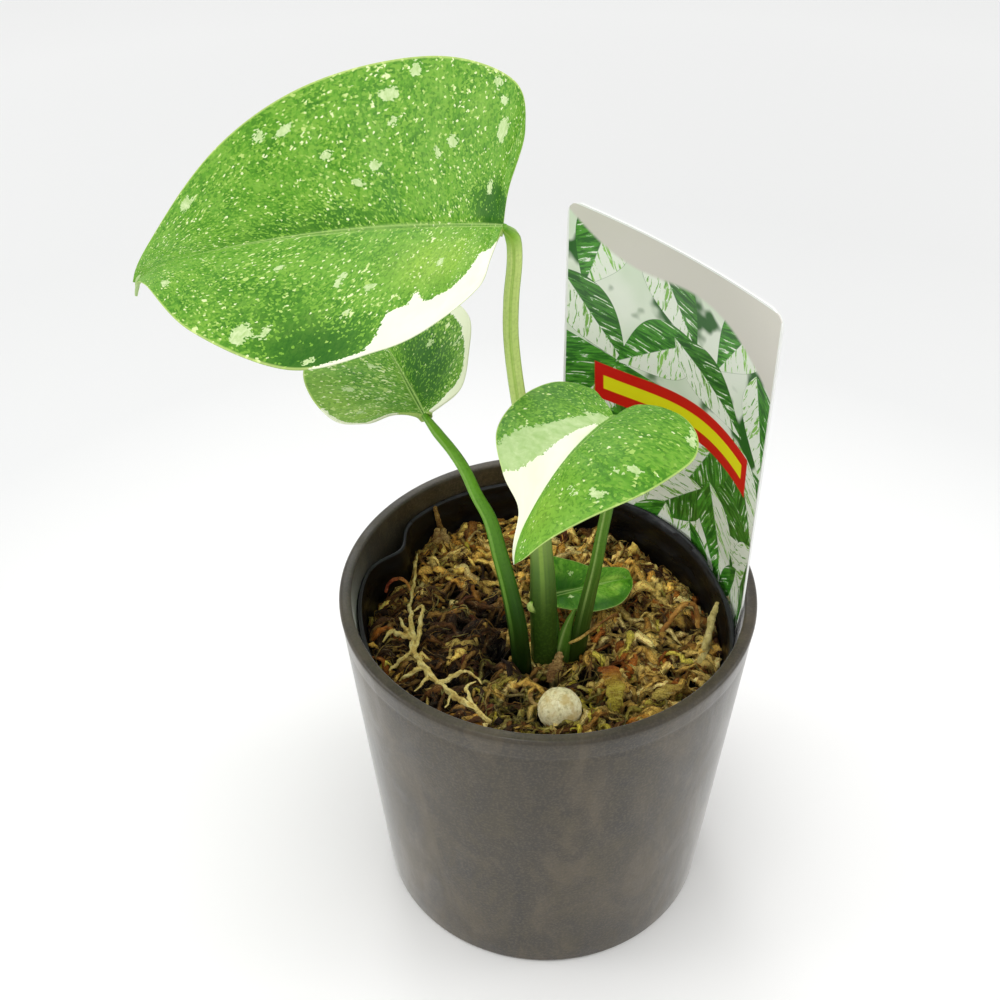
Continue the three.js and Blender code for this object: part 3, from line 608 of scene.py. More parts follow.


# leaves

# Each leaf is drawn flat along its midrib, then folded, bent and turned into place.
# Left and right are the two halves of the outline, from the notch round the lobe to the tip.
# Marks are placed by (half, row, column): row runs from notch to tip, column from midrib to margin.
# Tones (half, row, column, row spread, column spread, strength) darken a patch when positive and turn it lime when
# negative: partly the leaf's own colour, partly painted shade on bases and shaded halves and painted highlight where
# light falls.
leaves = {
    "leaf_large": {
        "length": 86.5, "rows": 150, "columns": 60,
        "left": [(2, 10), (4, 19), (10.5, 27), (21.5, 35), (38.5, 38.5), (62.5, 23.5), (78, 6)],
        "right": [(-1, 8.5), (-4, 22.5), (-1, 34), (15.5, 41), (39.5, 37), (62.5, 25), (79, 8)],
        "yaw": 177.7, "pitch": 0.5, "roll": -24, "bend": 28, "droop": 27,
        "foldLeft": 15.5, "foldRight": 13, "archLeft": -8, "archRight": -10,
        "joint": (-10.8, -4, 203), "ripple": 0.5, "veins": 9,
        "stalk": [(-0.7, -11, 79), (-1.3, -9.5, 102), (-1.8, -8, 114), (-3.1, -5.5, 131), (-5.3, -3, 145.5),
                  (-7.7, -1, 159), (-9.1, 0.5, 172), (-9.1, 1, 182), (-8.4, 0.5, 192), (-8.8, -0.8, 198.5),
                  (-10.8, -4, 202.8)],
        "stalkRadius": [3.3, 3.3, 2.8, 2.3, 1.9, 1.75, 1.7, 1.7, 1.65, 1.6, 0.9], "squash": 0.8,
        "cream": [
            (1, [(-0.02, 0.22), (0.046, 0.344), (0.104, 0.356), (0.11, 0.46), (0.133, 0.60), (0.179, 0.681),
                 (0.212, 0.694), (0.237, 0.719), (0.265, 0.690), (0.287, 0.60), (0.296, 0.585), (0.308, 0.688),
                 (0.333, 0.694), (0.350, 0.731), (0.354, 0.80), (0.358, 0.906), (0.367, 0.965), (0.40, 0.978),
                 (0.44, 0.985), (0.47, 0.99), (0.48, 1.2), (-0.05, 1.2)]),
        ],
        "growths": [([(-3.2, -11.3, 100), (-4.4, -11.6, 101.4), (-4.7, -11.6, 102.6), (-4.2, -11.4, 103.6)],
                     [0.5, 0.85, 0.8, 0.3], 0.9)],
        "blotches": [
            (-1, 0.15, 0.70, 1.5, 3.2), (-1, 0.15, 0.306, 0.9, 2.8), (-1, 0.275, 0.525, 1.0, 1.9),
            (-1, 0.404, 0.80, 1.3, 2.0), (-1, 0.362, 0.931, 0.8, 1.8), (-1, 0.204, 0.925, 0.8, 1.5),
            (-1, 0.571, 0.788, 1.1, 1.6), (-1, 0.608, 0.844, 0.8, 1.8), (-1, 0.517, 0.531, 1.0, 1.1),
            (-1, 0.438, 0.40, 0.9, 1.6), (-1, 0.483, 0.312, 0.9, 1.2), (-1, 0.758, 0.844, 1.1, 2.8),
            (-1, 0.396, 0.644, 0.7, 1.0), (-1, 0.175, 0.85, 0.9, 1.2), (-1, 0.31, 0.45, 0.6, 1.1),
            (1, 0.792, 0.812, 0.8, 2.4), (1, 0.592, 0.869, 1.2, 3.3), (1, 0.621, 0.331, 0.7, 1.3),
            (1, 0.492, 0.394, 0.7, 1.9), (1, 0.417, 0.469, 1.0, 1.1), (1, 0.471, 0.95, 0.7, 1.3),
            (1, 0.258, 0.356, 0.9, 1.6), (1, 0.442, 0.644, 0.5, 1.4), (1, 0.56, 0.80, 0.5, 1.6),
        ],
        "pale": [(1, [(1.4, 0.1), (1.7, 0.1), (1.7, 0.6), (1.4, 0.6)])],  # the drip tip
        "tonesLightAndShade": [
            (1, 0.28, 0.36, 0.20, 0.34, -0.75), (-1, 0.09, 0.16, 0.12, 0.24, 1.5), (-1, 0.60, 0.08, 0.24, 0.16, 0.6),
            (1, 0.45, 0.92, 0.12, 0.30, 0.8), (-1, 0.30, 0.60, 0.20, 0.4, -0.2), (1, 0.60, 0.6, 0.24, 0.4, 0.4),
            (-1, 0.75, 0.5, 0.2, 0.5, 0.2),
        ],
        "dripTip": [(2.2, 0.2, 0.5), (0.5, 0, -0.2), (-0.3, -0.2, -1.2), (-0.7, 0.2, -2.6), (-1.1, 0.4, -3.8),
                    (-1.4, 0.6, -5.0)],
        # stalk colours run from foot to blade; the dark first stops are painted shade at the stalk's foot
        "stalkColoursAndShade": [(0.0, (34, 54, 12)), (0.09, (54, 84, 24)), (0.19, (96, 130, 60)), (0.34, (188, 212, 118)),
                         (0.82, (214, 234, 138)), (0.92, (146, 196, 66)), (1.0, (80, 146, 28))],
        "stripe": (146, 184, 62), "shade": (104, 142, 48),
        "stripes": [(0.24, 0.045, (164, 200, 84)), (0.0, 0.05, (140, 176, 80)), (0.5, 0.05, (132, 168, 72))],
    },
    "leaf_rear": {
        "length": 52, "rows": 110, "columns": 44,
        "left": [(0, 7.5), (-4.5, 15.5), (-3, 22.5), (8.5, 26), (22.5, 24), (37, 14), (47, 4.5)],
        "right": [(-3.5, 4.5), (-6.5, 12.5), (-2, 19), (7.5, 24.5), (21.5, 22), (36.5, 13), (47, 4)],
        "yaw": 108.5, "pitch": -3.5, "roll": -19.5, "bend": -3.5, "droop": 12,
        "foldLeft": 31, "foldRight": 32, "archLeft": 4, "archRight": 6,
        "joint": (-29.8, 12, 143.4), "ripple": 0.4, "veins": 7,
        "stalk": [(-6.2, -14.1, 79), (-7.6, -13, 95.5), (-9.6, -10.5, 106.5), (-11.9, -8, 116),
                  (-14.2, -5, 124.5), (-17.3, -2.5, 130), (-20.1, 1, 135), (-23.1, 4, 138.5), (-26.7, 8, 141),
                  (-29.8, 12, 143.2)],
        "stalkRadius": [2.4, 2.35, 2.1, 1.95, 1.7, 1.5, 1.4, 1.3, 1.25, 0.8], "squash": 0.85,
        "cream": [
            (-1, [(-0.05, 0.12), (0.03, 0.24), (0.05, 0.50), (0.075, 0.80), (0.12, 0.92), (0.225, 0.90),
                  (0.30, 0.87), (0.42, 0.88), (0.55, 0.93), (0.65, 0.97), (0.68, 1.2), (-0.05, 1.2)]),
            (1, [(-0.05, 0.3), (0.012, 0.45), (0.02, 0.95), (0.10, 0.96), (0.25, 0.975), (0.3, 1.2), (-0.05, 1.2)]),
        ],
        "blotches": [
            (1, 0.72, 0.12, 0.8, 1.8), (1, 0.55, 0.30, 0.6, 1.5), (1, 0.35, 0.62, 0.7, 1.2),
            (1, 0.28, 0.38, 0.6, 1.2), (1, 0.18, 0.70, 0.6, 1.0), (-1, 0.45, 0.52, 0.6, 1.4),
            (-1, 0.30, 0.80, 0.7, 1.2), (-1, 0.7, 0.5, 0.6, 1.6),
        ],
        "pale": [],
        "tonesLightAndShade": [(-1, 0.35, 0.30, 0.35, 0.5, 1.1), (1, 0.62, 0.3, 0.3, 0.4, 0.3), (1, 0.30, 0.85, 0.35, 0.35, -0.6),
                  (1, 0.14, 0.5, 0.12, 0.4, -0.35)],
        "plain": -0.06, "ribbed": 1.0,
        "stalkColoursAndShade": [(0.0, (9, 20, 3)), (0.08, (18, 40, 5)), (0.18, (40, 76, 13)), (0.33, (78, 130, 26)),
                         (0.6, (108, 168, 40)), (0.95, (116, 174, 46)), (1.0, (80, 144, 24))],
        "stripe": (66, 118, 24), "shade": (30, 66, 10),
        # the pale stripe is a painted highlight down the stalk's lit side, the dark one painted shade down its far
        # side
        "stripes": [(0.13, 0.055, (132, 178, 74)), (0.52, 0.10, (44, 90, 12))],
    },
    "leaf_front": {
        "length": 44.5, "rows": 110, "columns": 44,
        "left": [(-6, 1), (-7.5, 10), (-3.5, 18.5), (6, 22.5), (19.5, 20), (32, 11.5), (41.5, 4)],
        "right": [(-3.5, 5), (-7, 11.5), (-4, 18.5), (5, 21), (17, 18), (27, 10), (34, 2.5)],
        "yaw": 232, "pitch": 8.5, "roll": 16, "bend": 42, "droop": 38,
        "foldLeft": 1, "foldRight": 18, "archLeft": -30, "archRight": -13.5,
        "joint": (12.5, -20, 166.3), "ripple": 0.3, "veins": 7,
        "stalk": [(6.6, -9.8, 79), (8.5, -10.5, 96.3), (9.8, -11.5, 107.5), (11, -13, 118.5),
                  (11.9, -14.5, 129.5), (12.6, -16.2, 138.5), (12.9, -18, 150), (12.8, -19.4, 159.5),
                  (12.5, -20, 166.1)],
        "stalkRadius": [2.4, 2.0, 1.75, 1.55, 1.4, 1.35, 1.3, 1.25, 0.8], "squash": 0.85,
        "cream": [
            (-1, [(0.20, -0.05), (0.30, 0.05), (0.49, 0.22), (0.583, 0.36), (0.62, 0.52), (0.654, 0.72),
                  (0.665, 1.2), (1.1, 1.2), (1.1, -0.01)]),
        ],
        "blotches": [
            (1, 0.604, 0.794, 0.8, 1.5), (1, 0.479, 0.781, 0.5, 1.3), (1, 0.642, 0.588, 0.45, 1.0),
            (1, 0.512, 0.688, 0.35, 0.9), (1, 0.229, 0.93, 1.2, 0.8), (1, 0.18, 0.95, 2.2, 0.5),
            (-1, 0.25, 0.22, 0.8, 1.4),
        ],
        "pale": [
            (-1, [(0.12, -0.05), (0.183, 0.138), (0.346, 0.319), (0.433, 0.55), (0.479, 0.738), (0.546, 0.944),
                  (0.57, 1.2), (0.72, 1.2), (0.70, 0.9), (0.68, 0.7), (0.64, 0.5), (0.60, 0.36), (0.5, 0.22),
                  (0.32, 0.05), (0.22, -0.05)]),
        ],
        "tonesLightAndShade": [(1, 0.4, 0.5, 0.4, 0.6, -0.15), (1, 0.78, 0.5, 0.14, 0.6, -0.5), (-1, 0.2, 0.7, 0.25, 0.6, 0.5)],
        "plain": 0.05, "ribbed": 0.35,
        "growths": [([(3.0, -10.8, 80), (3.8, -10.4, 88), (5.0, -9.6, 94.0), (6.6, -9.2, 99.0)],
                     [2.6, 2.1, 1.2, 0.4], 0.6)],
        "stalkColoursAndShade": [(0.0, (34, 40, 12)), (0.10, (44, 70, 16)), (0.4, (78, 122, 34)), (1.0, (108, 156, 52))],
        "stripe": (132, 162, 84), "shade": (36, 66, 14),
        "stripes": [(0.17, 0.04, (150, 178, 98)), (0.45, 0.07, (44, 80, 18))],
    },
    "leaf_young": {
        "length": 21.5, "rows": 80, "columns": 34,
        "left": [(-1, 4.5), (-1.2, 9), (2.2, 10.2), (6.8, 7.8), (11.5, 4.9), (16.5, 3.9), (20.3, 2.4)],
        "right": [(-0.3, 1.4), (-0.6, 3), (1, 4.8), (4.5, 6.4), (9.8, 8.2), (15.8, 7.6), (20.2, 3.8)],
        "yaw": 14, "pitch": 8, "roll": 0, "bend": 8, "droop": 8,
        "foldLeft": 50, "foldRight": 4, "archLeft": -8, "archRight": -34,
        "joint": (1.4, 3.2, 91.4), "ripple": 0.2, "veins": 5,
        "stalk": [(2.4, -6.2, 80), (2.1, -4.0, 84.5), (1.7, -0.5, 88.5), (1.4, 3.2, 91.2)],
        "stalkRadius": [1.4, 1.3, 1.1, 0.6], "squash": 1.0,
        "cream": [],
        "blotches": [(1, 0.371, 0.62, 0.35, 0.8), (1, 0.912, 0.425, 0.40, 0.55), (-1, 0.36, 0.3, 0.4, 0.8)],
        "pale": [],
        "plain": 0.22,
        "tonesLightAndShade": [(1, 0.30, 0.20, 0.30, 0.4, 1.0), (-1, 0.2, 0.3, 0.3, 0.6, 1.0), (1, 0.82, 0.35, 0.09, 0.25, -0.8),
                  (1, 0.66, 0.2, 0.10, 0.3, -0.7), (-1, 0.78, 0.48, 0.09, 0.2, -0.8),
                  (-1, 0.62, 0.85, 0.25, 0.22, 0.9), (-1, 0.93, 0.6, 0.07, 0.3, 0.7)],
        "stalkColoursAndShade": [(0.0, (60, 96, 28)), (1.0, (84, 140, 40))],
        "stripe": (60, 100, 30), "shade": (40, 70, 20), "stripes": [(0.25, 0.06, (60, 100, 30))],
    },
}
bladeShape = {"thickness": 0.6, "rimThickness": 0.3, "veinLean": 1.7, "veinBow": 0.05, "veinWidth": 0.09,
              "veinDepth": 0.10, "puff": 0.14, "midribGroove": 0.35, "midribWidth": 1.1, "collar": 1.1,
              "stalkSides": 36, "stalkSteps": 12, "ribDepths": (0.025, 0.015), "grooveDepth": 0.10,
              "tailWidths": [0.9, 0.85, 0.6, 0.45, 0.4, 0.3]}


def midribTable(leaf):
    # the midrib's side view, in half-millimetre steps: x, z and slope at each step
    step, x, z, table = 0.5, 0.0, 0.0, []
    for index in range(int(leaf["length"] * 1.1 / step) + 2):
        share = index * step / leaf["length"]
        angle = math.radians(leaf["bend"]) * share
        angle += math.radians(leaf["droop"]) * min(max((share - 0.75) / 0.25, 0), 1.3) ** 2
        table.append((x, z, angle))
        x += step * math.cos(angle)
        z -= step * math.sin(angle)
    return table


def midribAt(table, place):
    if place <= 0:
        return place, 0.0, 0.0
    index = min(int(place * 2), len(table) - 2)
    share = place * 2 - index
    return tuple(mixed(a, b, share) for a, b in zip(table[index], table[index + 1]))


def leafTurn(leaf):
    return (Matrix.Rotation(math.radians(leaf["yaw"]), 3, "Z") @ Matrix.Rotation(math.radians(-leaf["pitch"]), 3, "Y")
            @ Matrix.Rotation(math.radians(leaf["roll"]), 3, "X"))


def bladeMaker(leaf):
    # returns place(row, column, face): column is negative on the right half, face is 1 on top, -1 below
    table, turn, joint, length = midribTable(leaf), leafTurn(leaf), Vector(leaf["joint"]), leaf["length"]
    outlines = {side: [Vector(p) for p in [(0, 0)] + leaf[key] + [(length, 0)]]
                for side, key in ((1, "left"), (-1, "right"))}
    notchEnd = 2 / (len(leaf["left"]) + 1)
    lobes = {side: curvePoint(line, notchEnd) for side, line in outlines.items()}
    known = {}

    def onOutline(side, t):
        key = (side, round(t, 6))
        if key not in known:
            known[key] = curvePoint(outlines[side], t)
        return known[key]

    def flatAt(row, column):
        side = 1 if column >= 0 else -1
        part = abs(column)
        notch = onOutline(side, notchEnd * part)
        margin = onOutline(side, notchEnd + (1 - notchEnd) * row)
        midrib = length * row ** bladeShape["veinLean"]
        bow = bladeShape["veinBow"] * length * part * (1 - part) * row * (1 - row) * 4
        x = (1 - row) * (notch.x - part * lobes[side].x) + (1 - part) * midrib + part * margin.x + bow
        y = (1 - row) * (notch.y - part * lobes[side].y) + part * margin.y
        return x, y, side, part

    def place(row, column, face):
        x, y, side, part = flatAt(row, column)
        atX, atZ, slope = midribAt(table, x)
        fold = math.radians(leaf["foldLeft"] if side > 0 else leaf["foldRight"])
        arch = math.radians(leaf["archLeft"] if side > 0 else leaf["archRight"]) / (length / 2)
        out = (math.sin(fold + arch * y) - math.sin(fold)) / arch
        raised = -(math.cos(fold + arch * y) - math.cos(fold)) / arch
        raised += leaf["ripple"] * part ** 2 * math.sin(5 * math.pi * row + side)
        tilt = 0 if part == 0 else fold + arch * y
        lift = face * mixed(bladeShape["thickness"], bladeShape["rimThickness"], smooth(part, 0.8, 1.0)) / 2
        lift += surfaceRelief(leaf, row, part, y, face, x)
        sideways = side * (out - lift * math.sin(tilt))
        raised += lift * math.cos(tilt)
        local = Vector((atX + raised * math.sin(slope), sideways, atZ + raised * math.cos(slope)))
        return turn @ local + joint

    return place


def surfaceRelief(leaf, row, part, y, face, x):
    # sunk side veins with slightly puffed fields between them, a midrib groove on top and a ridge below
    phase = row * leaf["veins"] + 0.3
    nearest = phase - round(phase)
    fade = smooth(part, 0.02, 0.2) * (1 - smooth(part, 0.75, 1.0))
    veins = (bladeShape["puff"] * (0.5 - 0.5 * math.cos(2 * math.pi * phase)) - bladeShape["puff"] * 0.5
             - bladeShape["veinDepth"] * math.exp(-(nearest / bladeShape["veinWidth"]) ** 2)) * fade
    taper = 1 - 0.8 * smooth(row, 0.3, 1.0)
    groove = math.exp(-(y / bladeShape["midribWidth"]) ** 2) * taper
    if face > 0:
        return veins - bladeShape["midribGroove"] * groove
    root = leaf["stalkRadius"][-1] * (1 - 0.75 * min(max(x / leaf["length"], 0), 1))
    collar = bladeShape["collar"] * leaf["stalkRadius"][-1] * math.exp(-(x * x + y * y) / 9)
    return veins - (1.5 * root) * math.exp(-(y / (root + 0.25)) ** 2) * taper ** 0.4 - collar


def stalkFrames(route, radii, count):
    points = [Vector(p) for p in route]
    frames = []
    for index in range(count + 1):
        t = index / count
        at = curvePoint(points, t)
        along = (curvePoint(points, min(t + 0.01, 1)) - curvePoint(points, max(t - 0.01, 0))).normalized()
        out = Vector((1, 0, 0)).cross(along).normalized()
        across = out.cross(along).normalized()
        place = t * (len(radii) - 1)
        low = min(int(place), len(radii) - 2)
        frames.append((at, across, out, mixed(radii[low], radii[low + 1], place - low)))
    return frames


def tubePart(bm, frames, around, slot=0, squash=1.0, shape=None):
    # a tube over the frames; shape(share, angle) scales its radius, and both ends are drawn to a point
    last = len(frames) - 1

    def place(row, column):
        index = int(round(row * (last + 2))) - 1
        at, across, out, radius = frames[min(max(index, 0), last)]
        if not 0 <= index <= last:
            return at
        angle = column * 2 * math.pi
        radius *= shape(index / last, angle) if shape else 1
        return at + across * (radius * math.cos(angle)) + out * (radius * squash * math.sin(angle))

    return sheet(bm, last + 2, around, place, slot)


def stalkShape(leaf):
    def shape(share, angle):
        coarse, fine = bladeShape["ribDepths"]
        ribs = coarse * math.cos(9 * angle + 3 * share) + fine * math.cos(16 * angle)
        fromGroove = angle / (2 * math.pi) - leaf["stripes"][0][0]
        groove = bladeShape["grooveDepth"] * math.exp(-(fromGroove / 0.045) ** 2)
        return 1 + ribs - groove * smooth(share, 0.05, 0.3)
    return shape


def polygonField(u, v, corners):
    # signed distance to a polygon, positive inside, all in millimetres
    distance = np.full(u.shape, 1e9)
    inside = np.zeros(u.shape, bool)
    for (ax, ay), (bx, by) in zip(corners, corners[1:] + corners[:1]):
        dx, dy = bx - ax, by - ay
        share = np.clip(((u - ax) * dx + (v - ay) * dy) / max(dx * dx + dy * dy, 1e-9), 0, 1)
        distance = np.minimum(distance, np.hypot(u - ax - share * dx, v - ay - share * dy))
        crosses = (ay > v) != (by > v)
        inside ^= crosses & (u < ax + (v - ay) * dx / (dy if abs(dy) > 1e-9 else 1e-9))
    return np.where(inside, distance, -distance)


def markLeaf(mesh, leaf):
    # writes where the leaf is cream, pale or toned, as fields that the material cuts with noise; the tones are partly
    # the leaf's own deep and lime greens and partly painted shade and painted highlight
    count = len(mesh.vertices)
    spot = np.zeros(count * 3, np.float32)
    mesh.attributes["veinSpot"].data.foreach_get("vector", spot)
    row, column, face = spot.reshape(-1, 3).T.astype(float)
    side, part = np.where(column >= 0, 1, -1), np.abs(column)
    long, wide = leaf["length"], leaf["length"] / 2
    u, v = row * long, part * wide
    outside = -4.0  # millimetres from any mark
    cream, pale, toneLightAndShade, milky = np.full(count, outside), np.full(count, outside), np.zeros(count), np.zeros(count)
    for marks, field in ((leaf["cream"], cream), (leaf["pale"], pale)):
        for half, corners in marks:
            value = polygonField(u, v, [(r * long, c * wide) for r, c in corners])
            field[:] = np.maximum(field, np.where(side == half, value, outside))
    for half, r, c, across, along in leaf["blotches"]:
        value = (1 - np.hypot((u - r * long) / across, (v - c * wide) / along)) * min(across, along)
        value = np.where(side == half, value, outside)
        milky = np.where(value > np.maximum(cream, -1.5), 1.0, milky)
        cream = np.maximum(cream, value)
    for half, r, c, rowHalf, columnHalf, strength in leaf["tonesLightAndShade"]:
        spread = np.exp(-((row - r) / rowHalf) ** 2 - ((part - c) / columnHalf) ** 2)
        toneLightAndShade += np.where(side == half, strength * spread, 0)
    edge = np.maximum(part, 1 - row * 25 * (1 - 0.6 * part))
    for name, values in (("cream", cream), ("pale", pale), ("toneLightAndShade", toneLightAndShade), ("edge", edge), ("milky", milky),
                         ("plain", np.full(count, leaf.get("plain", 0.0))),
                         ("ribbed", np.full(count, leaf.get("ribbed", 0.6))),
                         ("middle", part * wide), ("face", face)):
        mesh.attributes.new(name, "FLOAT", "POINT").data.foreach_set("value", values.astype(np.float32))
    mesh.attributes.remove(mesh.attributes["veinSpot"])


leafPaint = {
    "greens": [(0.34, (60, 124, 16)), (0.5, (94, 156, 36)), (0.66, (128, 180, 62))],
    "deepGreenAndShade": (22, 86, 2), "limeAndLight": (172, 210, 82), "rib": (186, 216, 128), "rim": (206, 226, 132),
    "dimFleck": (118, 170, 52), "underside": (150, 182, 110),
    "fineFlecks": [(0.0, (128, 176, 62)), (0.45, (160, 198, 90)), (0.72, (200, 222, 138)), (0.94, (230, 240, 188))],
    "wideFlecks": [(0.0, (146, 192, 74)), (0.5, (194, 218, 126)), (0.9, (226, 238, 180))],
    "milky": [(0.35, (172, 202, 128)), (0.65, (208, 226, 170))],
    "cream": [(0.3, (244, 249, 212)), (0.7, (250, 252, 230))],
    "pale": [(0.3, (164, 198, 122)), (0.7, (204, 224, 166))],
}


def fleckCells(tree, at, size, cluster):
    # angular cells of one shade each; gives a clustered value and two random numbers a cell
    spread = scaled(tree, at, (1 / size[0], 1 / size[1], 1))
    cells = put(tree, "ShaderNodeTexVoronoi", {"Vector": spread, "Scale": 1.0}, voronoi_dimensions="2D")
    chance, tint, _ = put(tree, "ShaderNodeSeparateColor", {0: cells.outputs["Color"]}).outputs
    group = cloud(tree, cells.outputs["Position"], cluster, 2, 0.7)
    value = plus(tree, times(tree, group, 1.3), times(tree, chance, 0.4))
    return value, chance, tint


def variegatedLeaf():
    material, tree, shader = startMaterial("variegatedLeaf", Roughness=0.42, Specular_IOR_Level=0.19)
    straight = uvPlace(tree, "veinMap", (100, 100, 1))        # millimetres: x across the veins, y along them
    wobble = put(tree, "ShaderNodeTexNoise", {"Vector": straight, "Scale": 1.1, "Detail": 2.0}).outputs["Color"]
    at = blend(tree, 0.35, straight, wobble, "LINEAR_LIGHT")
    soft = cloud(tree, straight, 0.06, 3, 0.6)
    # greens, streaked along the veins
    streaks = cloud(tree, uvPlace(tree, "veinMap", (150, 36, 1)), 1.0, 3, 0.65, 0.3)
    patches = cloud(tree, uvPlace(tree, "veinMap", (40, 22, 1)), 0.5, 3, 0.6, 0.4)
    mix = plus(tree, times(tree, streaks, 0.45), times(tree, patches, 0.55))
    green = ramp(tree, mix, leafPaint["greens"])
    # deep and lime tones: partly the leaf's own colour, partly painted shade and painted highlight
    toneLightAndShade = attribute(tree, "toneLightAndShade")
    green = blend(tree, stretch(tree, toneLightAndShade, 0.05, 1.0, 0.0, 0.8), green, leafPaint["deepGreenAndShade"])
    green = blend(tree, stretch(tree, times(tree, toneLightAndShade, -1.0), 0.05, 1.0, 0.0, 0.75), green,
                  leafPaint["limeAndLight"])
    # small angular flecks of lighter tissue, crowded in places
    crowd = times(tree, minus(tree, 0.5, soft), 0.35)
    crowd = plus(tree, crowd, attribute(tree, "plain"))
    crowd = plus(tree, crowd, stretch(tree, toneLightAndShade, 0.3, 1.0, 0.0, 0.2))
    fine, fineChance, fineTint = fleckCells(tree, at, (0.30, 0.56), 0.5)
    green = blend(tree, stretch(tree, fineTint, 0.4, 1.0, 0.0, 0.38), green, leafPaint["deepGreenAndShade"])
    over = minus(tree, fine, crowd)
    colour = blend(tree, above(tree, over, 0.90), green, leafPaint["dimFleck"], "LIGHTEN")
    fineFleck = ramp(tree, fineTint, leafPaint["fineFlecks"])
    colour = blend(tree, above(tree, over, 1.06), colour, fineFleck, "LIGHTEN")
    wide, _, wideTint = fleckCells(tree, at, (0.62, 1.25), 0.28)
    colour = blend(tree, above(tree, minus(tree, wide, crowd), 1.20), colour,
                   ramp(tree, wideTint, leafPaint["wideFlecks"]))
    # larger cream and pale marks: whole cells change sides along their edges
    ragged = times(tree, minus(tree, fineChance, 0.5), 0.55)
    wander = stretch(tree, cloud(tree, straight, 0.5, 3, 0.6), 0.25, 0.75, -0.55, 0.55, soft=False)
    push = plus(tree, ragged, wander)
    creamMask = above(tree, plus(tree, attribute(tree, "cream"), push), 0.0)
    paleField = plus(tree, attribute(tree, "pale"), times(tree, push, 1.6))
    paleCloud = cloud(tree, uvPlace(tree, "veinMap", (55, 24, 1)), 1.0, 4, 0.65, 0.6)
    colour = blend(tree, stretch(tree, paleField, -0.1, 0.1, 0.0, 0.92), colour,
                   ramp(tree, paleCloud, leafPaint["pale"]))
    mark = blend(tree, attribute(tree, "milky"), ramp(tree, soft, leafPaint["cream"]),
                 ramp(tree, streaks, leafPaint["milky"]))
    colour = blend(tree, creamMask, colour, mark)
    # light midrib with thin parallel stripes, thin light margin
    middle = attribute(tree, "middle")
    lines = cloud(tree, uvPlace(tree, "veinMap", (3, 240, 1)), 1.0, 2, 0.5)
    ribbed = attribute(tree, "ribbed")
    groove = times(tree, stretch(tree, middle, 0.2, 0.45, 0.6, 0.0), ribbed)
    colour = blend(tree, groove, colour, leafPaint["deepGreenAndShade"])
    besideGroove = maths(tree, "ABSOLUTE", minus(tree, middle, 0.6))
    clear = times(tree, stretch(tree, besideGroove, 0.12, 0.35, 1.0, 0.0), stretch(tree, lines, 0.36, 0.5))
    faint = times(tree, stretch(tree, middle, 0.4, 1.7, 0.4, 0.0), stretch(tree, lines, 0.42, 0.56))
    colour = blend(tree, times(tree, maths(tree, "MAXIMUM", clear, faint), ribbed), colour, leafPaint["rib"])
    rim = stretch(tree, attribute(tree, "edge"), 0.982, 0.995)
    rim = times(tree, rim, minus(tree, 1.0, creamMask))
    colour = blend(tree, times(tree, rim, 0.6), colour, leafPaint["rim"])
    # the underside is paler and duller
    under = stretch(tree, attribute(tree, "face"), -0.2, 0.2, 1.0, 0.0)
    colour = blend(tree, times(tree, under, 0.35), colour, leafPaint["underside"])
    paint(tree, shader, colour, stretch(tree, under, 0, 1, 0.42, 0.6))
    relief(tree, shader, cloud(tree, straight, 1.6, 2, 0.6), 0.08, 0.0002)
    return material


def stalkSkin(name, leaf):
    material, tree, shader = startMaterial(name + "Stalk", Roughness=0.38, Specular_IOR_Level=0.3)
    along, around, _ = split(tree, uvPlace(tree, "veinMap"))
    streaks = cloud(tree, uvPlace(tree, "veinMap", (2.2, 26, 1)), 1.0, 3, 0.6)
    # the dark foot of each stalk is painted shade where the stalks meet the moss
    colour = ramp(tree, along, leaf["stalkColoursAndShade"])
    upper = stretch(tree, along, 0.06, 0.3)  # the foot of a stalk is plain and dark
    streaky = times(tree, stretch(tree, streaks, 0.45, 0.7, 0.0, 0.35), upper)
    colour = blend(tree, streaky, colour, leaf["stripe"])
    # stripes down a stalk; on leaf_rear the pale one is a painted highlight and the dark one painted shade
    for centre, width, tint in leaf["stripes"]:
        away = maths(tree, "ABSOLUTE", minus(tree, around, centre))
        mask = times(tree, stretch(tree, away, width * 0.4, width, 0.85, 0.0), upper)
        colour = blend(tree, times(tree, mask, stretch(tree, streaks, 0.2, 0.5)), colour, tint)
    grain = cloud(tree, objectPlace(tree), 1400, 2, 0.6)
    paint(tree, shader, blend(tree, stretch(tree, grain, 0.45, 0.7, 0.0, 0.2), colour, leaf["shade"]))
    relief(tree, shader, streaks, 0.15, 0.0003)
    return material


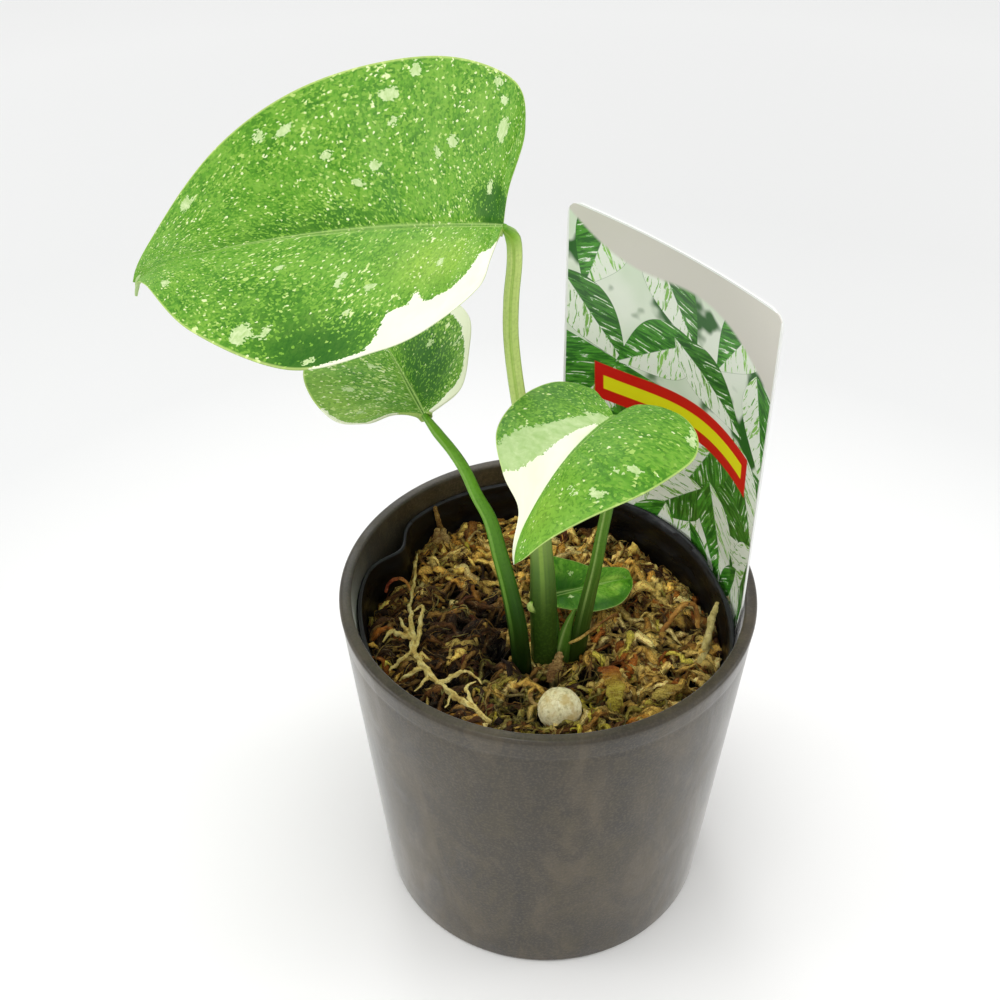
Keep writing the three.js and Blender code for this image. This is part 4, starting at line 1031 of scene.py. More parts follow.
def buildLeaf(node, leaf, bladeMaterial):
    bm = bmesh.new()
    spot = bm.verts.layers.float_vector.new("veinSpot")
    uv = bm.loops.layers.uv.new("veinMap")
    place = bladeMaker(leaf)
    rows, columns = leaf["rows"], 2 * leaf["columns"]
    made = bmesh.ops.create_grid(bm, x_segments=rows, y_segments=columns, size=0.5)
    for vert in made["verts"]:
        vert[spot] = (vert.co.x + 0.5, vert.co.y * 2, 1)
    lower = bmesh.ops.extrude_face_region(bm, geom=bm.faces[:], use_keep_orig=True)["geom"]
    for item in lower:
        if isinstance(item, bmesh.types.BMVert):
            item[spot] = (item[spot][0], item[spot][1], -1)
    for face in bm.faces:
        for loop in face.loops:
            row, column, _ = loop.vert[spot]
            loop[uv].uv = (row * leaf["length"] / 100, column * leaf["length"] / 200)
    for vert in bm.verts:
        row, column, face = vert[spot]
        vert.co = place(row, column, face)
    frames = stalkFrames(leaf["stalk"], leaf["stalkRadius"], bladeShape["stalkSteps"] * (len(leaf["stalk"]) - 1))
    stalk, _ = tubePart(bm, frames, bladeShape["stalkSides"], 1, leaf["squash"], stalkShape(leaf))
    for route, radii, squash in leaf.get("growths", []):  # the sheath and the nub beside the stalks
        stalk += tubePart(bm, stalkFrames(route, radii, 16), 18, 1, squash)[0]
    for vert in stalk:
        vert[spot] = (0.5, 0.5, 0)
    if "dripTip" in leaf:
        addDripTip(bm, leaf, place, spot, uv)
    closeUp(bm, 2e-3)
    mesh = meshFrom(node, bm, mm)
    markLeaf(mesh, leaf)
    dressMesh(node + "_grown", mesh, [bladeMaterial, stalkSkin(node, leaf)], "leaf", [node], 60)


def addDripTip(bm, leaf, place, spot, uv):
    # the leaf tip runs out into a narrow pale tail that hangs down
    line = [place(0.985, 0.0, 1) + Vector(p) for p in leaf["dripTip"]]
    frames = stalkFrames(line, bladeShape["tailWidths"], 24)
    verts, faces = tubePart(bm, frames, 12, 0, 0.5)
    for vert in verts:
        vert[spot] = (1.5, 0.35, 1)
    for face in faces:
        for loop in face.loops:
            loop[uv].uv = (0.85, loop[uv].uv[1] * 0.02)


leafSurface = variegatedLeaf()
for node, leaf in leaves.items():
    buildLeaf(node, leaf, leafSurface)


# routes of the loose roots across the moss: (x, y, height above the moss, radius)
looseThings = {
    "dry_root": {
        "slot": "dry_root", "seed": 5, "knots": 0.4, "wander": 0.5,
        "colours": [(0.3, (186, 148, 66)), (0.5, (232, 208, 122)), (0.7, (250, 236, 164))],
        "main": [(-35.4, 14, 1.3, 0.42), (-35.6, 7, 1.5, 0.45), (-35.0, 1, 1.7, 0.5), (-34.0, -6, 1.7, 0.72),
                 (-34.0, -12.5, 1.6, 0.85), (-31.2, -17, 1.4, 0.7), (-27.6, -21.8, 1.4, 0.7),
                 (-22.9, -27.5, 1.4, 0.72), (-18.2, -32.6, 1.4, 0.6), (-14.5, -37, 1.2, 0.5)],
        "branches": [(3, [(-37.6, -5.2, 2.2, 0.6), (-39.8, -4.8, 2.2, 0.5), (-41.8, -7.4, 1.4, 0.16)]),
                     (3, [(-36.0, -4.2, 2.2, 0.45), (-37.4, -0.6, 2.4, 0.3), (-37.6, 1.4, 2.2, 0.12)]),
                     (4, [(-32.8, -8, 2.4, 0.5), (-32.2, -1, 3.0, 0.45), (-31.7, 2.6, 3.0, 0.42),
                          (-32.8, 4.6, 2.4, 0.38), (-34.4, 3.4, 1.8, 0.2)]),
                     (4, [(-36.6, -14, 1.8, 0.45), (-38.6, -15.6, 1.6, 0.4), (-39.8, -17.2, 1.1, 0.15)]),
                     (5, [(-33.0, -18.2, 1.9, 0.5), (-35.4, -19.4, 1.8, 0.4), (-37.2, -19.8, 1.1, 0.14)]),
                     (5, [(-30.4, -20.5, 1.7, 0.45), (-31.0, -22.6, 1.6, 0.35), (-33.0, -24.6, 1.0, 0.12)]),
                     (6, [(-25.2, -20.4, 2.2, 0.55), (-21.5, -19.0, 2.4, 0.42), (-18.2, -20.2, 1.7, 0.25),
                          (-16.6, -22, 0.9, 0.12)]),
                     (7, [(-24.4, -28, 1.6, 0.3), (-25.4, -31.4, 1.2, 0.14)]),
                     (8, [(-19.6, -28.6, 2.0, 0.45), (-20.4, -25, 2.0, 0.4), (-18.2, -22.6, 1.4, 0.15)]),
                     (0, [(-35.0, 18, 1.7, 0.4), (-34.8, 22.5, 1.8, 0.35), (-34.4, 27, 0.8, 0.15)])],
    },
    "arch_root": {
        "slot": "arch_root", "seed": 6, "knots": 0.3, "wander": 0.5,
        "colours": [(0.3, (104, 62, 16)), (0.5, (164, 112, 40)), (0.7, (204, 160, 78))],
        "main": [(28.2, -5.4, -1.5, 0.6), (31.2, -2.4, 3.0, 0.58), (35.0, 0.2, 5.4, 0.6), (38.0, -0.2, 4.9, 0.55),
                 (38.9, -3.2, 0, 0.6)],
        "branches": [],
    },
    "twig": {
        "slot": "twig", "seed": 7, "knots": 0.25, "wander": 0.3,
        "colours": [(0.3, (124, 108, 50)), (0.5, (180, 164, 96)), (0.7, (216, 202, 140))],
        "main": [(37.9, -16.2, 0.3, 1.0), (40.2, -10, 4.0, 1.0), (42.0, -5, 8.2, 0.8), (43.0, -3.2, 10.2, 0.35)],
        "branches": [],
    },
}


def looseLines(piece):
    # the main line, then each branch with the point of the main line that it leaves
    main = piece["main"]
    return [main] + [[main[start][:3] + (route[0][3],)] + route for start, route in piece["branches"]]


rootSpots = [(mixed(a[0], b[0], share), mixed(a[1], b[1], share)) for line in looseLines(looseThings["dry_root"])
             for a, b in zip(line, line[1:]) for share in (0.0, 0.33, 0.67, 1.0)]


# strands and crumbs of moss

# Every strand is a flattened tube along a wandering line that rises out of the bed and dives back.
# rise: height of its ends, arch: how far its middle stands up, lie: its usual direction in degrees,
# stray: how far it turns from there, sprigs: side shoots a strand, dyes: share of strands and display colour.
strandKinds = {
    "moss_straw": {
        "count": 520, "length": (6, 15), "width": (1.0, 2.8), "flat": 0.36, "curl": 1.3, "rise": (-1.6, 0.4),
        "arch": (0.3, 2.4), "ragged": 0.42, "steps": 12, "seed": 21, "zone": "straw", "gain": 1.16, "sprigs": 0.8,
        "dyes": [(0.30, (226, 202, 128)), (0.24, (202, 170, 94)), (0.20, (242, 226, 168)), (0.12, (166, 124, 58)),
                 (0.06, (208, 200, 96)), (0.08, (168, 102, 38))],
    },
    "moss_golden": {
        "count": 360, "length": (5, 13), "width": (1.0, 2.7), "flat": 0.4, "curl": 1.2, "rise": (-1.6, 0.3),
        "arch": (0.3, 2.0), "ragged": 0.45, "steps": 12, "seed": 26, "zone": "golden", "gain": 1.55, "sprigs": 0.7,
        "dyes": [(0.30, (220, 182, 100)), (0.18, (184, 140, 66)), (0.24, (240, 216, 146)), (0.10, (130, 88, 36)),
                 (0.14, (226, 200, 118)), (0.04, (168, 108, 40))],
    },
    "moss_bark": {
        "count": 560, "length": (7, 16), "width": (0.8, 2.1), "flat": 0.4, "curl": 0.8, "rise": (-1.8, 0.4),
        "arch": (0.2, 1.8), "ragged": 0.48, "steps": 12, "seed": 22, "zone": "bark", "gain": 0.92, "sprigs": 0.4,
        "lie": 34, "stray": 26,
        "dyes": [(0.26, (66, 42, 22)), (0.24, (92, 60, 32)), (0.18, (126, 88, 46)), (0.16, (46, 28, 15)),
                 (0.12, (166, 128, 74)), (0.04, (108, 58, 30))],
    },
    "moss_green": {
        "count": 300, "length": (4, 11), "width": (0.5, 1.5), "flat": 0.42, "curl": 2.0, "rise": (-1.6, 0.4),
        "arch": (0.3, 2.0), "ragged": 0.45, "steps": 12, "seed": 23, "zone": "green", "gain": 1.4, "sprigs": 1.0,
        "dyes": [(0.26, (150, 142, 70)), (0.22, (112, 106, 50)), (0.22, (176, 168, 104)), (0.14, (84, 78, 34)),
                 (0.16, (190, 180, 70))],
    },
    # the under layer is dyed darker: partly its own darker brown, partly painted shade under the top strands
    "moss_under": {
        "count": 1500, "length": (5, 12), "width": (0.9, 2.0), "flat": 0.45, "curl": 1.2, "rise": (-3.4, -1.8),
        "arch": (0.1, 1.4), "ragged": 0.35, "steps": 8, "seed": 25, "zone": "any", "gain": 0.9, "sprigs": 0.0,
        "dyes": [(0.3, (92, 64, 32)), (0.25, (62, 40, 20)), (0.25, (124, 94, 50)), (0.2, (42, 26, 13))],
    },
    "moss_crumbs": {
        "count": 1900, "length": (1.1, 3.2), "width": (0.5, 1.6), "flat": 0.4, "curl": 1.2, "rise": (-1.6, 0.6),
        "arch": (0.2, 1.2), "ragged": 0.4, "steps": 4, "seed": 24, "zone": "any", "gain": 1.15, "sprigs": 0.0,
        "dyes": [(0.24, (190, 160, 94)), (0.2, (128, 92, 44)), (0.24, (216, 192, 128)), (0.2, (78, 50, 24)),
                 (0.12, (160, 116, 44))],
    },
    "moss_hairs": {
        "count": 720, "length": (4, 12), "width": (0.14, 0.30), "flat": 0.9, "curl": 3.2, "rise": (-0.6, 1.0),
        "arch": (0.4, 2.6), "ragged": 0.15, "steps": 10, "seed": 27, "zone": "any", "gain": 1.1, "sprigs": 0.5,
        "dyes": [(0.3, (196, 172, 110)), (0.3, (150, 116, 60)), (0.2, (168, 164, 110)), (0.2, (108, 70, 34))],
    },
}
# what the strands keep off: x, y and radius of the stalks and the pellet
stems = [(-0.8, -10.8, 3.5), (-6.5, -13.9, 2.6), (6.8, -9.9, 2.4), (1.9, -3.6, 1.5), (2.0, -34.0, 5.4)]


def zoneShare(zone, x, y):
    # dark bark on the left, golden brown behind, olive in the middle at the front, straw on the right
    golden = smooth(y + 0.35 * noise.noise(Vector((x, y, 0)) * 0.08) * 20, 8, 18)
    bark = smooth(-x - 0.2 * y, 3, 12) * (1 - golden)
    green = smooth(-y, 12, 20) * smooth(x, -24, -12) * (1 - smooth(x, 12, 22))
    bark *= 1 - 0.7 * green
    straw = max(1 - bark - green - golden, 0)
    return {"bark": bark + 0.05, "green": green + 0.03, "straw": straw + 0.05 * bark + 0.3 * green + 0.15 * golden,
            "golden": golden + 0.10 * bark + 0.08 * straw, "any": 1.0}[zone]


def strandStart(rng, zone):
    while True:
        radius, angle = 47 * math.sqrt(rng.random()), rng.uniform(0, 2 * math.pi)
        x, y = radius * math.cos(angle), radius * math.sin(angle)
        if rng.random() < zoneShare(zone, x, y) * (1 - 0.85 * min(pitDepth(x, y) / 3, 1)):
            return x, y


def strandLine(rng, kind, parent=None):
    # centre points of one strand, or of a side shoot that leaves its parent strand
    steps = kind["steps"]
    length, arch, rise = rng.uniform(*kind["length"]), rng.uniform(*kind["arch"]), rng.uniform(*kind["rise"])
    if "lie" in kind:
        heading = math.radians(kind["lie"] + rng.gauss(0, kind["stray"]))
    else:
        heading = rng.uniform(0, 2 * math.pi)
    if parent is None:
        x, y = strandStart(rng, kind["zone"])
        x -= 0.5 * length * math.cos(heading)
        y -= 0.5 * length * math.sin(heading)
        first = 0.0
    else:
        at = rng.randint(2, steps - 3)
        here, after = parent[at], parent[at + 1]
        x, y = here[0], here[1]
        first = here[2] - mossHeight(x, y) - mossRough(x, y) - rise
        heading = math.atan2(after[1] - here[1], after[0] - here[0]) + rng.choice((-1, 1)) * rng.uniform(0.5, 1.3)
        length, arch = length * 0.42, arch * 0.3
    bend, swerve, phase = rng.gauss(0, kind["curl"]) / length, rng.gauss(0, 0.6), rng.uniform(0, 6)
    tilt, clear = rng.uniform(-0.9, 0.9), rng.uniform(0.4, 2.4)
    points = []
    for index in range(steps + 1):
        share = index / steps
        above = rise + first * (1 - share) + arch * math.sin(math.pi * share) + tilt * (share - 0.5)
        points.append(clearSpot(x, y, above + 0.35 * math.sin(5 * share + phase), clear))
        heading += (bend + swerve * math.cos(4 * share + phase) / length) * length / steps
        x += length / steps * math.cos(heading)
        y += length / steps * math.sin(heading)
    return points


smallHoles = [pit[:3] for pit in moss["pits"] if pit[2] <= 2.5]


def pushOff(x, y, atX, atY, share):
    return atX + (x - atX) * share, atY + (y - atY) * share


def clearSpot(x, y, above, clear):
    # keeps a point inside the liner, off stems and pellet, under the dry root and beside the small dark holes
    for atX, atY, spread in smallHoles:
        away, bearing = math.hypot(x - atX, 0.8 * (y - atY)), math.atan2(y - atY, x - atX)
        reach = (0.55 * spread + moss["holeEdge"]) * (1 + 0.3 * math.sin(3 * bearing + 2 * atX))
        if away < reach:
            x, y = pushOff(x, y, atX, atY, reach / max(away, 0.1))
    for atX, atY, radius in stems:
        away = math.hypot(x - atX, y - atY)
        if away < radius + clear:
            x, y = pushOff(x, y, atX, atY, (radius + clear) / max(away, 0.1))
    radius, angle = math.hypot(x, y), math.atan2(y, x)
    nearRoot = min(math.hypot(x - atX, y - atY) for atX, atY in rootSpots)
    above = min(above, mixed(-0.5, 3.0, smooth(nearRoot, 0.9, 2.4)))
    limit = linerRadius(angle, 88) - liner["wall"] - 1.6
    if radius > limit:
        x, y = x * limit / radius, y * limit / radius
    z = mossHeight(x, y) + mossRough(x, y) + above
    return (x, y, z - 1.2 * smooth(radius / max(limit, 1), 0.94, 1.0))


def strandPiece(name, kind):
    rng = random.Random(kind["seed"])
    steps, around = kind["steps"], 4
    lines, dyes = [], []
    for _ in range(kind["count"]):
        line = strandLine(rng, kind)
        shoots = int(kind["sprigs"] + rng.random())
        family = [line] + [strandLine(rng, kind, line) for _ in range(shoots)]
        colour, gain = pickDye(rng, kind["dyes"]), rng.uniform(0.7, 1.15) * kind["gain"]
        lines += family
        dyes += [[c * gain * warm for c, warm in zip(colour, moss["warmth"])]] * len(family)
    count = len(lines)
    # one grid holds every strand: five columns of points each, with the strip between two strands cut away
    bm = bmesh.new()
    columns = (around + 1) * count
    bmesh.ops.create_grid(bm, x_segments=steps, y_segments=columns - 1, size=0.5)
    between = [f for f in bm.faces
               if int(round((f.calc_center_median().y + 0.5) * (columns - 1) - 0.5)) % (around + 1) == around]
    bmesh.ops.delete(bm, geom=between, context="FACES")
    mesh = bpy.data.meshes.new(name)
    bm.to_mesh(mesh)
    grid = np.zeros(len(mesh.vertices) * 3)
    mesh.vertices.foreach_get("co", grid)
    grid = grid.reshape(-1, 3)
    step = np.rint((grid[:, 0] + 0.5) * steps).astype(int)
    column = np.rint((grid[:, 1] + 0.5) * (columns - 1)).astype(int)
    strand, corner = column // (around + 1), column % (around + 1)
    lines = np.array(lines)
    along = np.gradient(lines, axis=1)
    along /= np.linalg.norm(along, axis=2, keepdims=True) + 1e-9

    def draw(low, high, size=1):
        return np.array([[rng.uniform(low, high) for _ in range(size)] for _ in range(count)])

    roll = (draw(-0.8, 0.8) + draw(-1.6, 1.6) * np.linspace(-0.5, 0.5, steps + 1))[..., None]
    side = np.cross(along, [0.0, 0.0, 1.0])
    side /= np.linalg.norm(side, axis=2, keepdims=True) + 1e-9
    up = np.cross(side, along)
    wide = side * np.cos(roll) + up * np.sin(roll)
    thin = up * np.cos(roll) - side * np.sin(roll)
    share = np.linspace(0, 1, steps + 1)
    ragged = draw(1 - kind["ragged"], 1 + kind["ragged"], steps + 1)
    width = draw(*kind["width"]) / 2 * np.sin(np.pi * share) ** 0.35 * ragged
    depth = width * kind["flat"] * draw(0.7, 1.4, steps + 1)
    angle = corner * (math.pi / 2)
    co = (lines[strand, step] + wide[strand, step] * (width[strand, step] * np.cos(angle))[:, None]
          + thin[strand, step] * (depth[strand, step] * np.sin(angle))[:, None])
    mesh.vertices.foreach_set("co", co.ravel())
    # deep strands are darkened: painted shade, the deeper a strand lies the darker
    ground = np.array([[mossHeight(x, y) for x, y, _ in line] for line in lines.tolist()])
    light = np.clip((lines[..., 2] - ground + 3.1) / 3.5, 0.0, 1.0) ** 1.5 * 0.93 + 0.07
    dye = np.ones((len(mesh.vertices), 4))
    dye[:, :3] = np.array(dyes)[strand] * light[strand, step][:, None]
    mesh.attributes.new("dye", "FLOAT_COLOR", "POINT").data.foreach_set("color", dye.ravel())
    grainPlace = np.stack([step * 0.9 + strand * 7.3, corner * 0.8, strand * 1.7], axis=1)
    mesh.attributes.new("grainPlace", "FLOAT_VECTOR", "POINT").data.foreach_set("vector", grainPlace.ravel())
    bm.clear()
    bm.from_mesh(mesh)
    bpy.data.meshes.remove(mesh)
    bmesh.ops.remove_doubles(bm, verts=bm.verts, dist=1e-5)
    bmesh.ops.recalc_face_normals(bm, faces=bm.faces)
    return finishPiece(name, bm, [fibreSkin], "growing_medium", ["growing_medium"], 180)


def pickDye(rng, dyes):
    value = rng.random()
    for portion, colour in dyes:
        value -= portion
        if value <= 0:
            break
    return linear(*colour)


def drySphagnum():
    material, tree, shader = startMaterial("drySphagnum", Roughness=0.85, Specular_IOR_Level=0.3)
    at = objectPlace(tree)
    dye = attribute(tree, "dye", "Color")
    grain = cloud(tree, scaled(tree, attribute(tree, "grainPlace", "Vector"), (0.5, 3.2, 1)), 1.0, 3, 0.7)
    fine = cloud(tree, at, 2400, 3, 0.75)
    patch = cloud(tree, at, 330, 3, 0.6, 0.5)
    colour = blend(tree, stretch(tree, patch, 0.46, 0.72, 0.0, 0.6), dye, (150, 96, 46), "MULTIPLY")
    colour = blend(tree, stretch(tree, grain, 0.5, 0.7, 0.0, 0.7), colour, (120, 88, 50), "MULTIPLY")
    colour = blend(tree, stretch(tree, grain, 0.28, 0.46, 0.35, 0.0), colour, (236, 216, 160), "SCREEN")
    colour = blend(tree, stretch(tree, fine, 0.48, 0.66, 0.0, 0.7), colour, (112, 78, 44), "MULTIPLY")
    paint(tree, shader, colour)
    height = plus(tree, times(tree, grain, 0.6), times(tree, fine, 0.4))
    relief(tree, shader, height, 1.0, 0.0009)
    return material


fibreSkin = drySphagnum()
for name, kind in strandKinds.items():
    strandPiece(name, kind)


# fertiliser pellet

pellet = {
    "at": (2.0, -34.0, 89.8), "radius": 5.25,
    "lumps": [(0.16, 0.45), (0.10, 1.6), (0.06, 4.5)],  # height and closeness
    "chalk": [(0.32, (192, 180, 132)), (0.5, (240, 230, 182)), (0.68, (254, 250, 216))], "stain": (204, 176, 104),
}


def pelletSurface():
    material, tree, shader = startMaterial("chalkyPellet", Roughness=0.9)
    at = objectPlace(tree)
    grain = cloud(tree, at, 900, 4, 0.7)
    stain = cloud(tree, at, 260, 3, 0.6, 0.4)
    colour = ramp(tree, grain, pellet["chalk"])
    paint(tree, shader, blend(tree, stretch(tree, stain, 0.48, 0.68, 0.0, 0.7), colour, pellet["stain"]))
    relief(tree, shader, grain, 0.5, 0.0005)
    return material


def buildPellet():
    bm = bmesh.new()
    bmesh.ops.create_icosphere(bm, subdivisions=5, radius=pellet["radius"])
    for vert in bm.verts:
        lump = sum(height * noise.noise(vert.co * close) for height, close in pellet["lumps"])
        vert.co += vert.co.normalized() * lump
    bmesh.ops.translate(bm, vec=pellet["at"], verts=bm.verts)
    finishPiece("pellet_grain", bm, [pelletSurface()], "fertiliser_pellet", ["fertiliser_pellet"], 180)


buildPellet()


# loose roots and the twig

def rootSkin(name, colours):
    material, tree, shader = startMaterial(name + "Skin", Roughness=0.8)
    at = objectPlace(tree)
    patch = cloud(tree, at, 380, 4, 0.65, 0.5)
    grain = cloud(tree, at, 1500, 3, 0.7)
    colour = blend(tree, stretch(tree, grain, 0.5, 0.75, 0.0, 0.6), ramp(tree, patch, colours), (92, 62, 32))
    paint(tree, shader, colour)
    relief(tree, shader, grain, 0.6, 0.0004)
    return material


def buildLoose(name, piece):
    bm = bmesh.new()
    rng = random.Random(piece["seed"])
    for line in looseLines(piece):
        route = [(x, y, mossHeight(x, y) + above) for x, y, above, _ in line]
        count = 10 * (len(route) - 1)
        offset = rng.uniform(0, 50)
        frames = [(at + noise.noise_vector(at * 0.5 + Vector((offset, 0, 0))) * piece["wander"], across, out, radius)
                  for at, across, out, radius in stalkFrames(route, [p[3] for p in line], count)]

        def shape(share, angle):
            at = Vector((share * count * 0.45 + offset, 1.5 * math.cos(angle), 1.5 * math.sin(angle)))
            return 1 + piece["knots"] * noise.noise(at) * 2 + 0.06 * math.cos(3 * angle)

        tubePart(bm, frames, 12, 0, 1.0, shape)
    closeUp(bm, 1e-3)
    finishPiece(name + "_fibre", bm, [rootSkin(name, piece["colours"])], piece["slot"], [name], 60)


for name, piece in looseThings.items():
    buildLoose(name, piece)


# scraps, husks and single roots caught in the moss
oddments = [  # route, radii, flatness, colour at the start and at the end
    ([(13.6, -18.0, 86.6), (14.6, -20.2, 89.0), (15.4, -24.6, 89.6), (15.4, -29.4, 89.4), (14.8, -32.4, 87.2)],
     [1.2, 2.2, 2.2, 2.0, 0.8], 0.32, (176, 96, 20), (196, 180, 66)),
    ([(2.9, -13.2, 88.0), (2.2, -15.0, 86.2), (0.8, -17.2, 84.8), (0.2, -19.6, 83.6)], [0.6, 1.2, 1.3, 0.6], 0.55,
     (190, 156, 96), (136, 100, 54)),
    ([(5.8, -11.2, 89.0), (5.4, -13.0, 91.0), (7.2, -13.5, 92.6), (9.6, -12.2, 93.5), (13, -8.5, 93),
      (17.5, -2, 90), (18.6, 1, 85.5)],
     [0.3, 0.35, 0.35, 0.35, 0.35, 0.3, 0.3], 1.0, (224, 190, 96), (160, 108, 46)),
    ([(-28.0, 36.0, 79), (-28.2, 36.2, 85), (-29.0, 36.2, 90), (-29.6, 36.2, 94)], [0.9, 0.8, 0.6, 0.4], 0.7,
     (150, 116, 56), (188, 150, 76)),
    ([(-30.0, 33.0, 82.5), (-28.3, 34.0, 86.6), (-26.2, 33.4, 83)], [0.6, 1.6, 0.6], 0.6,
     (196, 160, 90), (214, 184, 116)),
    ([(-3.0, -19.6, 84.4), (-3.6, -21.4, 86.2), (-4.9, -27.5, 86.6), (-2.8, -31, 87.6), (-1.2, -32.4, 86.6)],
     [0.4, 0.5, 0.45, 0.4, 0.3], 0.9, (146, 104, 52), (196, 164, 96)),
    ([(-42.2, 11.4, 85.5), (-41.0, 12.6, 88.0), (-38.6, 13.4, 88.6), (-36.4, 12.2, 88.0), (-35.6, 11, 86.6)],
     [0.3, 0.4, 0.42, 0.38, 0.3], 0.8, (164, 78, 44), (204, 142, 66)),
    ([(44.4, 3.2, 88), (46.6, 1.6, 92.2), (47.8, -0.6, 92.4), (48.2, -2.2, 91.6)], [0.3, 0.9, 0.8, 0.3], 0.35,
     (214, 196, 150), (232, 220, 180)),
    ([(23.5, -30, 85.8), (26.5, -28.4, 88.4), (31, -26.6, 88.8), (34.5, -26.4, 86.6)], [0.5, 1.5, 1.7, 0.6], 0.5,
     (214, 190, 92), (190, 158, 70)),
    ([(16.0, -38.5, 87.2), (19, -37.8, 89.4), (23, -36.2, 89.4), (26, -35.2, 87)], [0.4, 0.8, 0.9, 0.4], 0.7,
     (196, 118, 30), (218, 158, 50)),
    ([(-22.5, -36, 87), (-20.5, -36.5, 89.6), (-17.6, -37.6, 89.2), (-15.6, -38.6, 87.2)], [0.4, 0.9, 0.8, 0.4], 0.7,
     (222, 184, 96), (196, 138, 52)),
]


def buildOddments():
    bm = bmesh.new()
    dye = bm.verts.layers.float_color.new("dye")
    grainPlace = bm.verts.layers.float_vector.new("grainPlace")
    for number, (route, radii, flat, first, last) in enumerate(oddments):
        frames = stalkFrames(route, radii, 12 * (len(route) - 1))
        colours = [Vector(linear(*ink)) for ink in (first, last)]

        def shape(share, angle):
            at = Vector((share * 9 + 7 * number, 1.4 * math.cos(angle), 1.4 * math.sin(angle)))
            return 1 + 0.7 * noise.noise(at)

        verts, _ = tubePart(bm, frames, 16, 0, flat, shape)
        for vert in verts:
            share = min(range(len(frames)), key=lambda at: (frames[at][0] - vert.co).length) / (len(frames) - 1)
            vert[dye] = colours[0].lerp(colours[1], smooth(share, 0.25, 0.75))
            vert[grainPlace] = vert.co * 0.8 + Vector((9 * number, 0, 0))
    closeUp(bm, 1e-3)
    finishPiece("moss_oddments", bm, [fibreSkin], "growing_medium", ["growing_medium"], 60)


buildOddments()


# plant label

label = {
    "top": 183.0, "bottom": 84.0, "thickness": 0.6, "corner": 4.0, "width": 69.0,
    "stations": [  # height, x and y of the right edge, x and y of the left edge, bulge
        (84, 46.8, -8.5, 5.1, 44.2, 12.6), (98.9, 48.0, -8.9, 5.2, 45.4, 12.8), (183, 48.8, -7.5, 5.2, 44.7, 2.5)],
    "columns": 72, "rows": 110,
    "leaves": [  # across, up, turn, half length, half width, brightness, flipped
        (10, 90, 250, 15, 8, 1.1, 0), (33, 86, 300, 16, 8, 0.9, 1), (56, 84, 236, 15, 7, 1.15, 0),
        (66, 66, 285, 14, 7, 1.0, 1),
        (8, 68, 310, 15, 8, 0.85, 1), (27, 66, 215, 16, 8, 1.05, 0), (46, 66, 330, 15, 7.5, 0.8, 1),
        (6, 44, 235, 14, 7, 1.1, 0), (24, 44, 325, 15, 8, 0.8, 0), (44, 42, 240, 16, 8, 1.05, 1),
        (63, 44, 300, 15, 7, 0.9, 0), (12, 22, 290, 14, 7, 1.0, 1), (32, 20, 225, 15, 7.5, 0.85, 1),
        (50, 20, 285, 16, 8, 1.1, 0), (66, 20, 255, 15, 7, 0.85, 1),
        (24, 3, 250, 14, 7, 1.0, 0), (42, 2, 290, 14, 7, 0.9, 1), (60, 7, 262, 13, 6, 0.95, 0),
    ],
    "inks": {"paper": (244, 250, 236), "haze": (224, 238, 214), "pale": (246, 252, 238), "dark": (36, 100, 24),
             "mid": (80, 156, 46), "light": (146, 204, 90), "grey": (222, 217, 208), "red": (222, 22, 12),
             "yellow": (250, 242, 20), "edge": (252, 253, 251)},
    "back": [(0.4, (232, 234, 230)), (0.6, (240, 242, 238))],
    "greyFrom": (96.0, 97.5), "border": (0.45, 0.6),  # mm
    "band": (50.0, 8.0, 62.0),  # middle height, from, to
    "stripes": [(0.0, "red", 5.6), (2.4, "yellow", 2.0)],  # inset at the ends, ink, half height
}


def labelStation(z, low, high):
    part = (z - low[0]) / (high[0] - low[0])
    return [mixed(a, b, part) for a, b in zip(low[1:], high[1:])]


def labelPlace(share, z, lift):
    stations = label["stations"]
    pair = stations[:2] if z <= stations[1][0] else stations[1:]
    rightX, rightY, leftX, leftY, bulge = labelStation(z, *pair)
    chord = Vector((leftX - rightX, leftY - rightY))
    outward = Vector((chord.y, -chord.x)).normalized()
    arc = 4 * bulge * share * (1 - share) + lift
    return Vector((rightX + chord.x * share + outward.x * arc, rightY + chord.y * share + outward.y * arc, z))


def leafMotif():
    # one printed leaf: its mask, which side of its midrib a point is on, and brush streaks along its veins
    group = bpy.data.node_groups.new("printedLeaf", "ShaderNodeTree")
    for title in ("At", "Place", "Turn", "Size"):
        group.interface.new_socket(title, in_out="INPUT", socket_type="NodeSocketVector")
    for title in ("Mask", "Side", "Streak"):
        group.interface.new_socket(title, in_out="OUTPUT", socket_type="NodeSocketFloat")
    given, out = group.nodes.new("NodeGroupInput"), group.nodes.new("NodeGroupOutput")
    local = put(group, "ShaderNodeMapping", {"Vector": given.outputs["At"], "Location": given.outputs["Place"],
                                             "Rotation": given.outputs["Turn"], "Scale": given.outputs["Size"]},
                vector_type="TEXTURE").outputs[0]
    along, across, _ = split(group, local)
    square = times(group, along, along)
    width = times(group, minus(group, 1.0, square),
                  minus(group, 1.0, times(group, along, 0.45)))
    reach = maths(group, "ABSOLUTE", across)
    mask = stretch(group, minus(group, width, reach), -0.01, 0.03)
    lean = minus(group, times(group, along, 9.0), times(group, reach, 5.0))
    veinPlace = put(group, "ShaderNodeCombineXYZ", {0: lean, 1: times(group, across, 1.6)}).outputs[0]
    streak = cloud(group, veinPlace, 1.0, 4, 0.65, 0.5)
    for socket, value in (("Mask", mask), ("Side", across), ("Streak", streak)):
        group.links.new(value, out.inputs[socket])
    return group


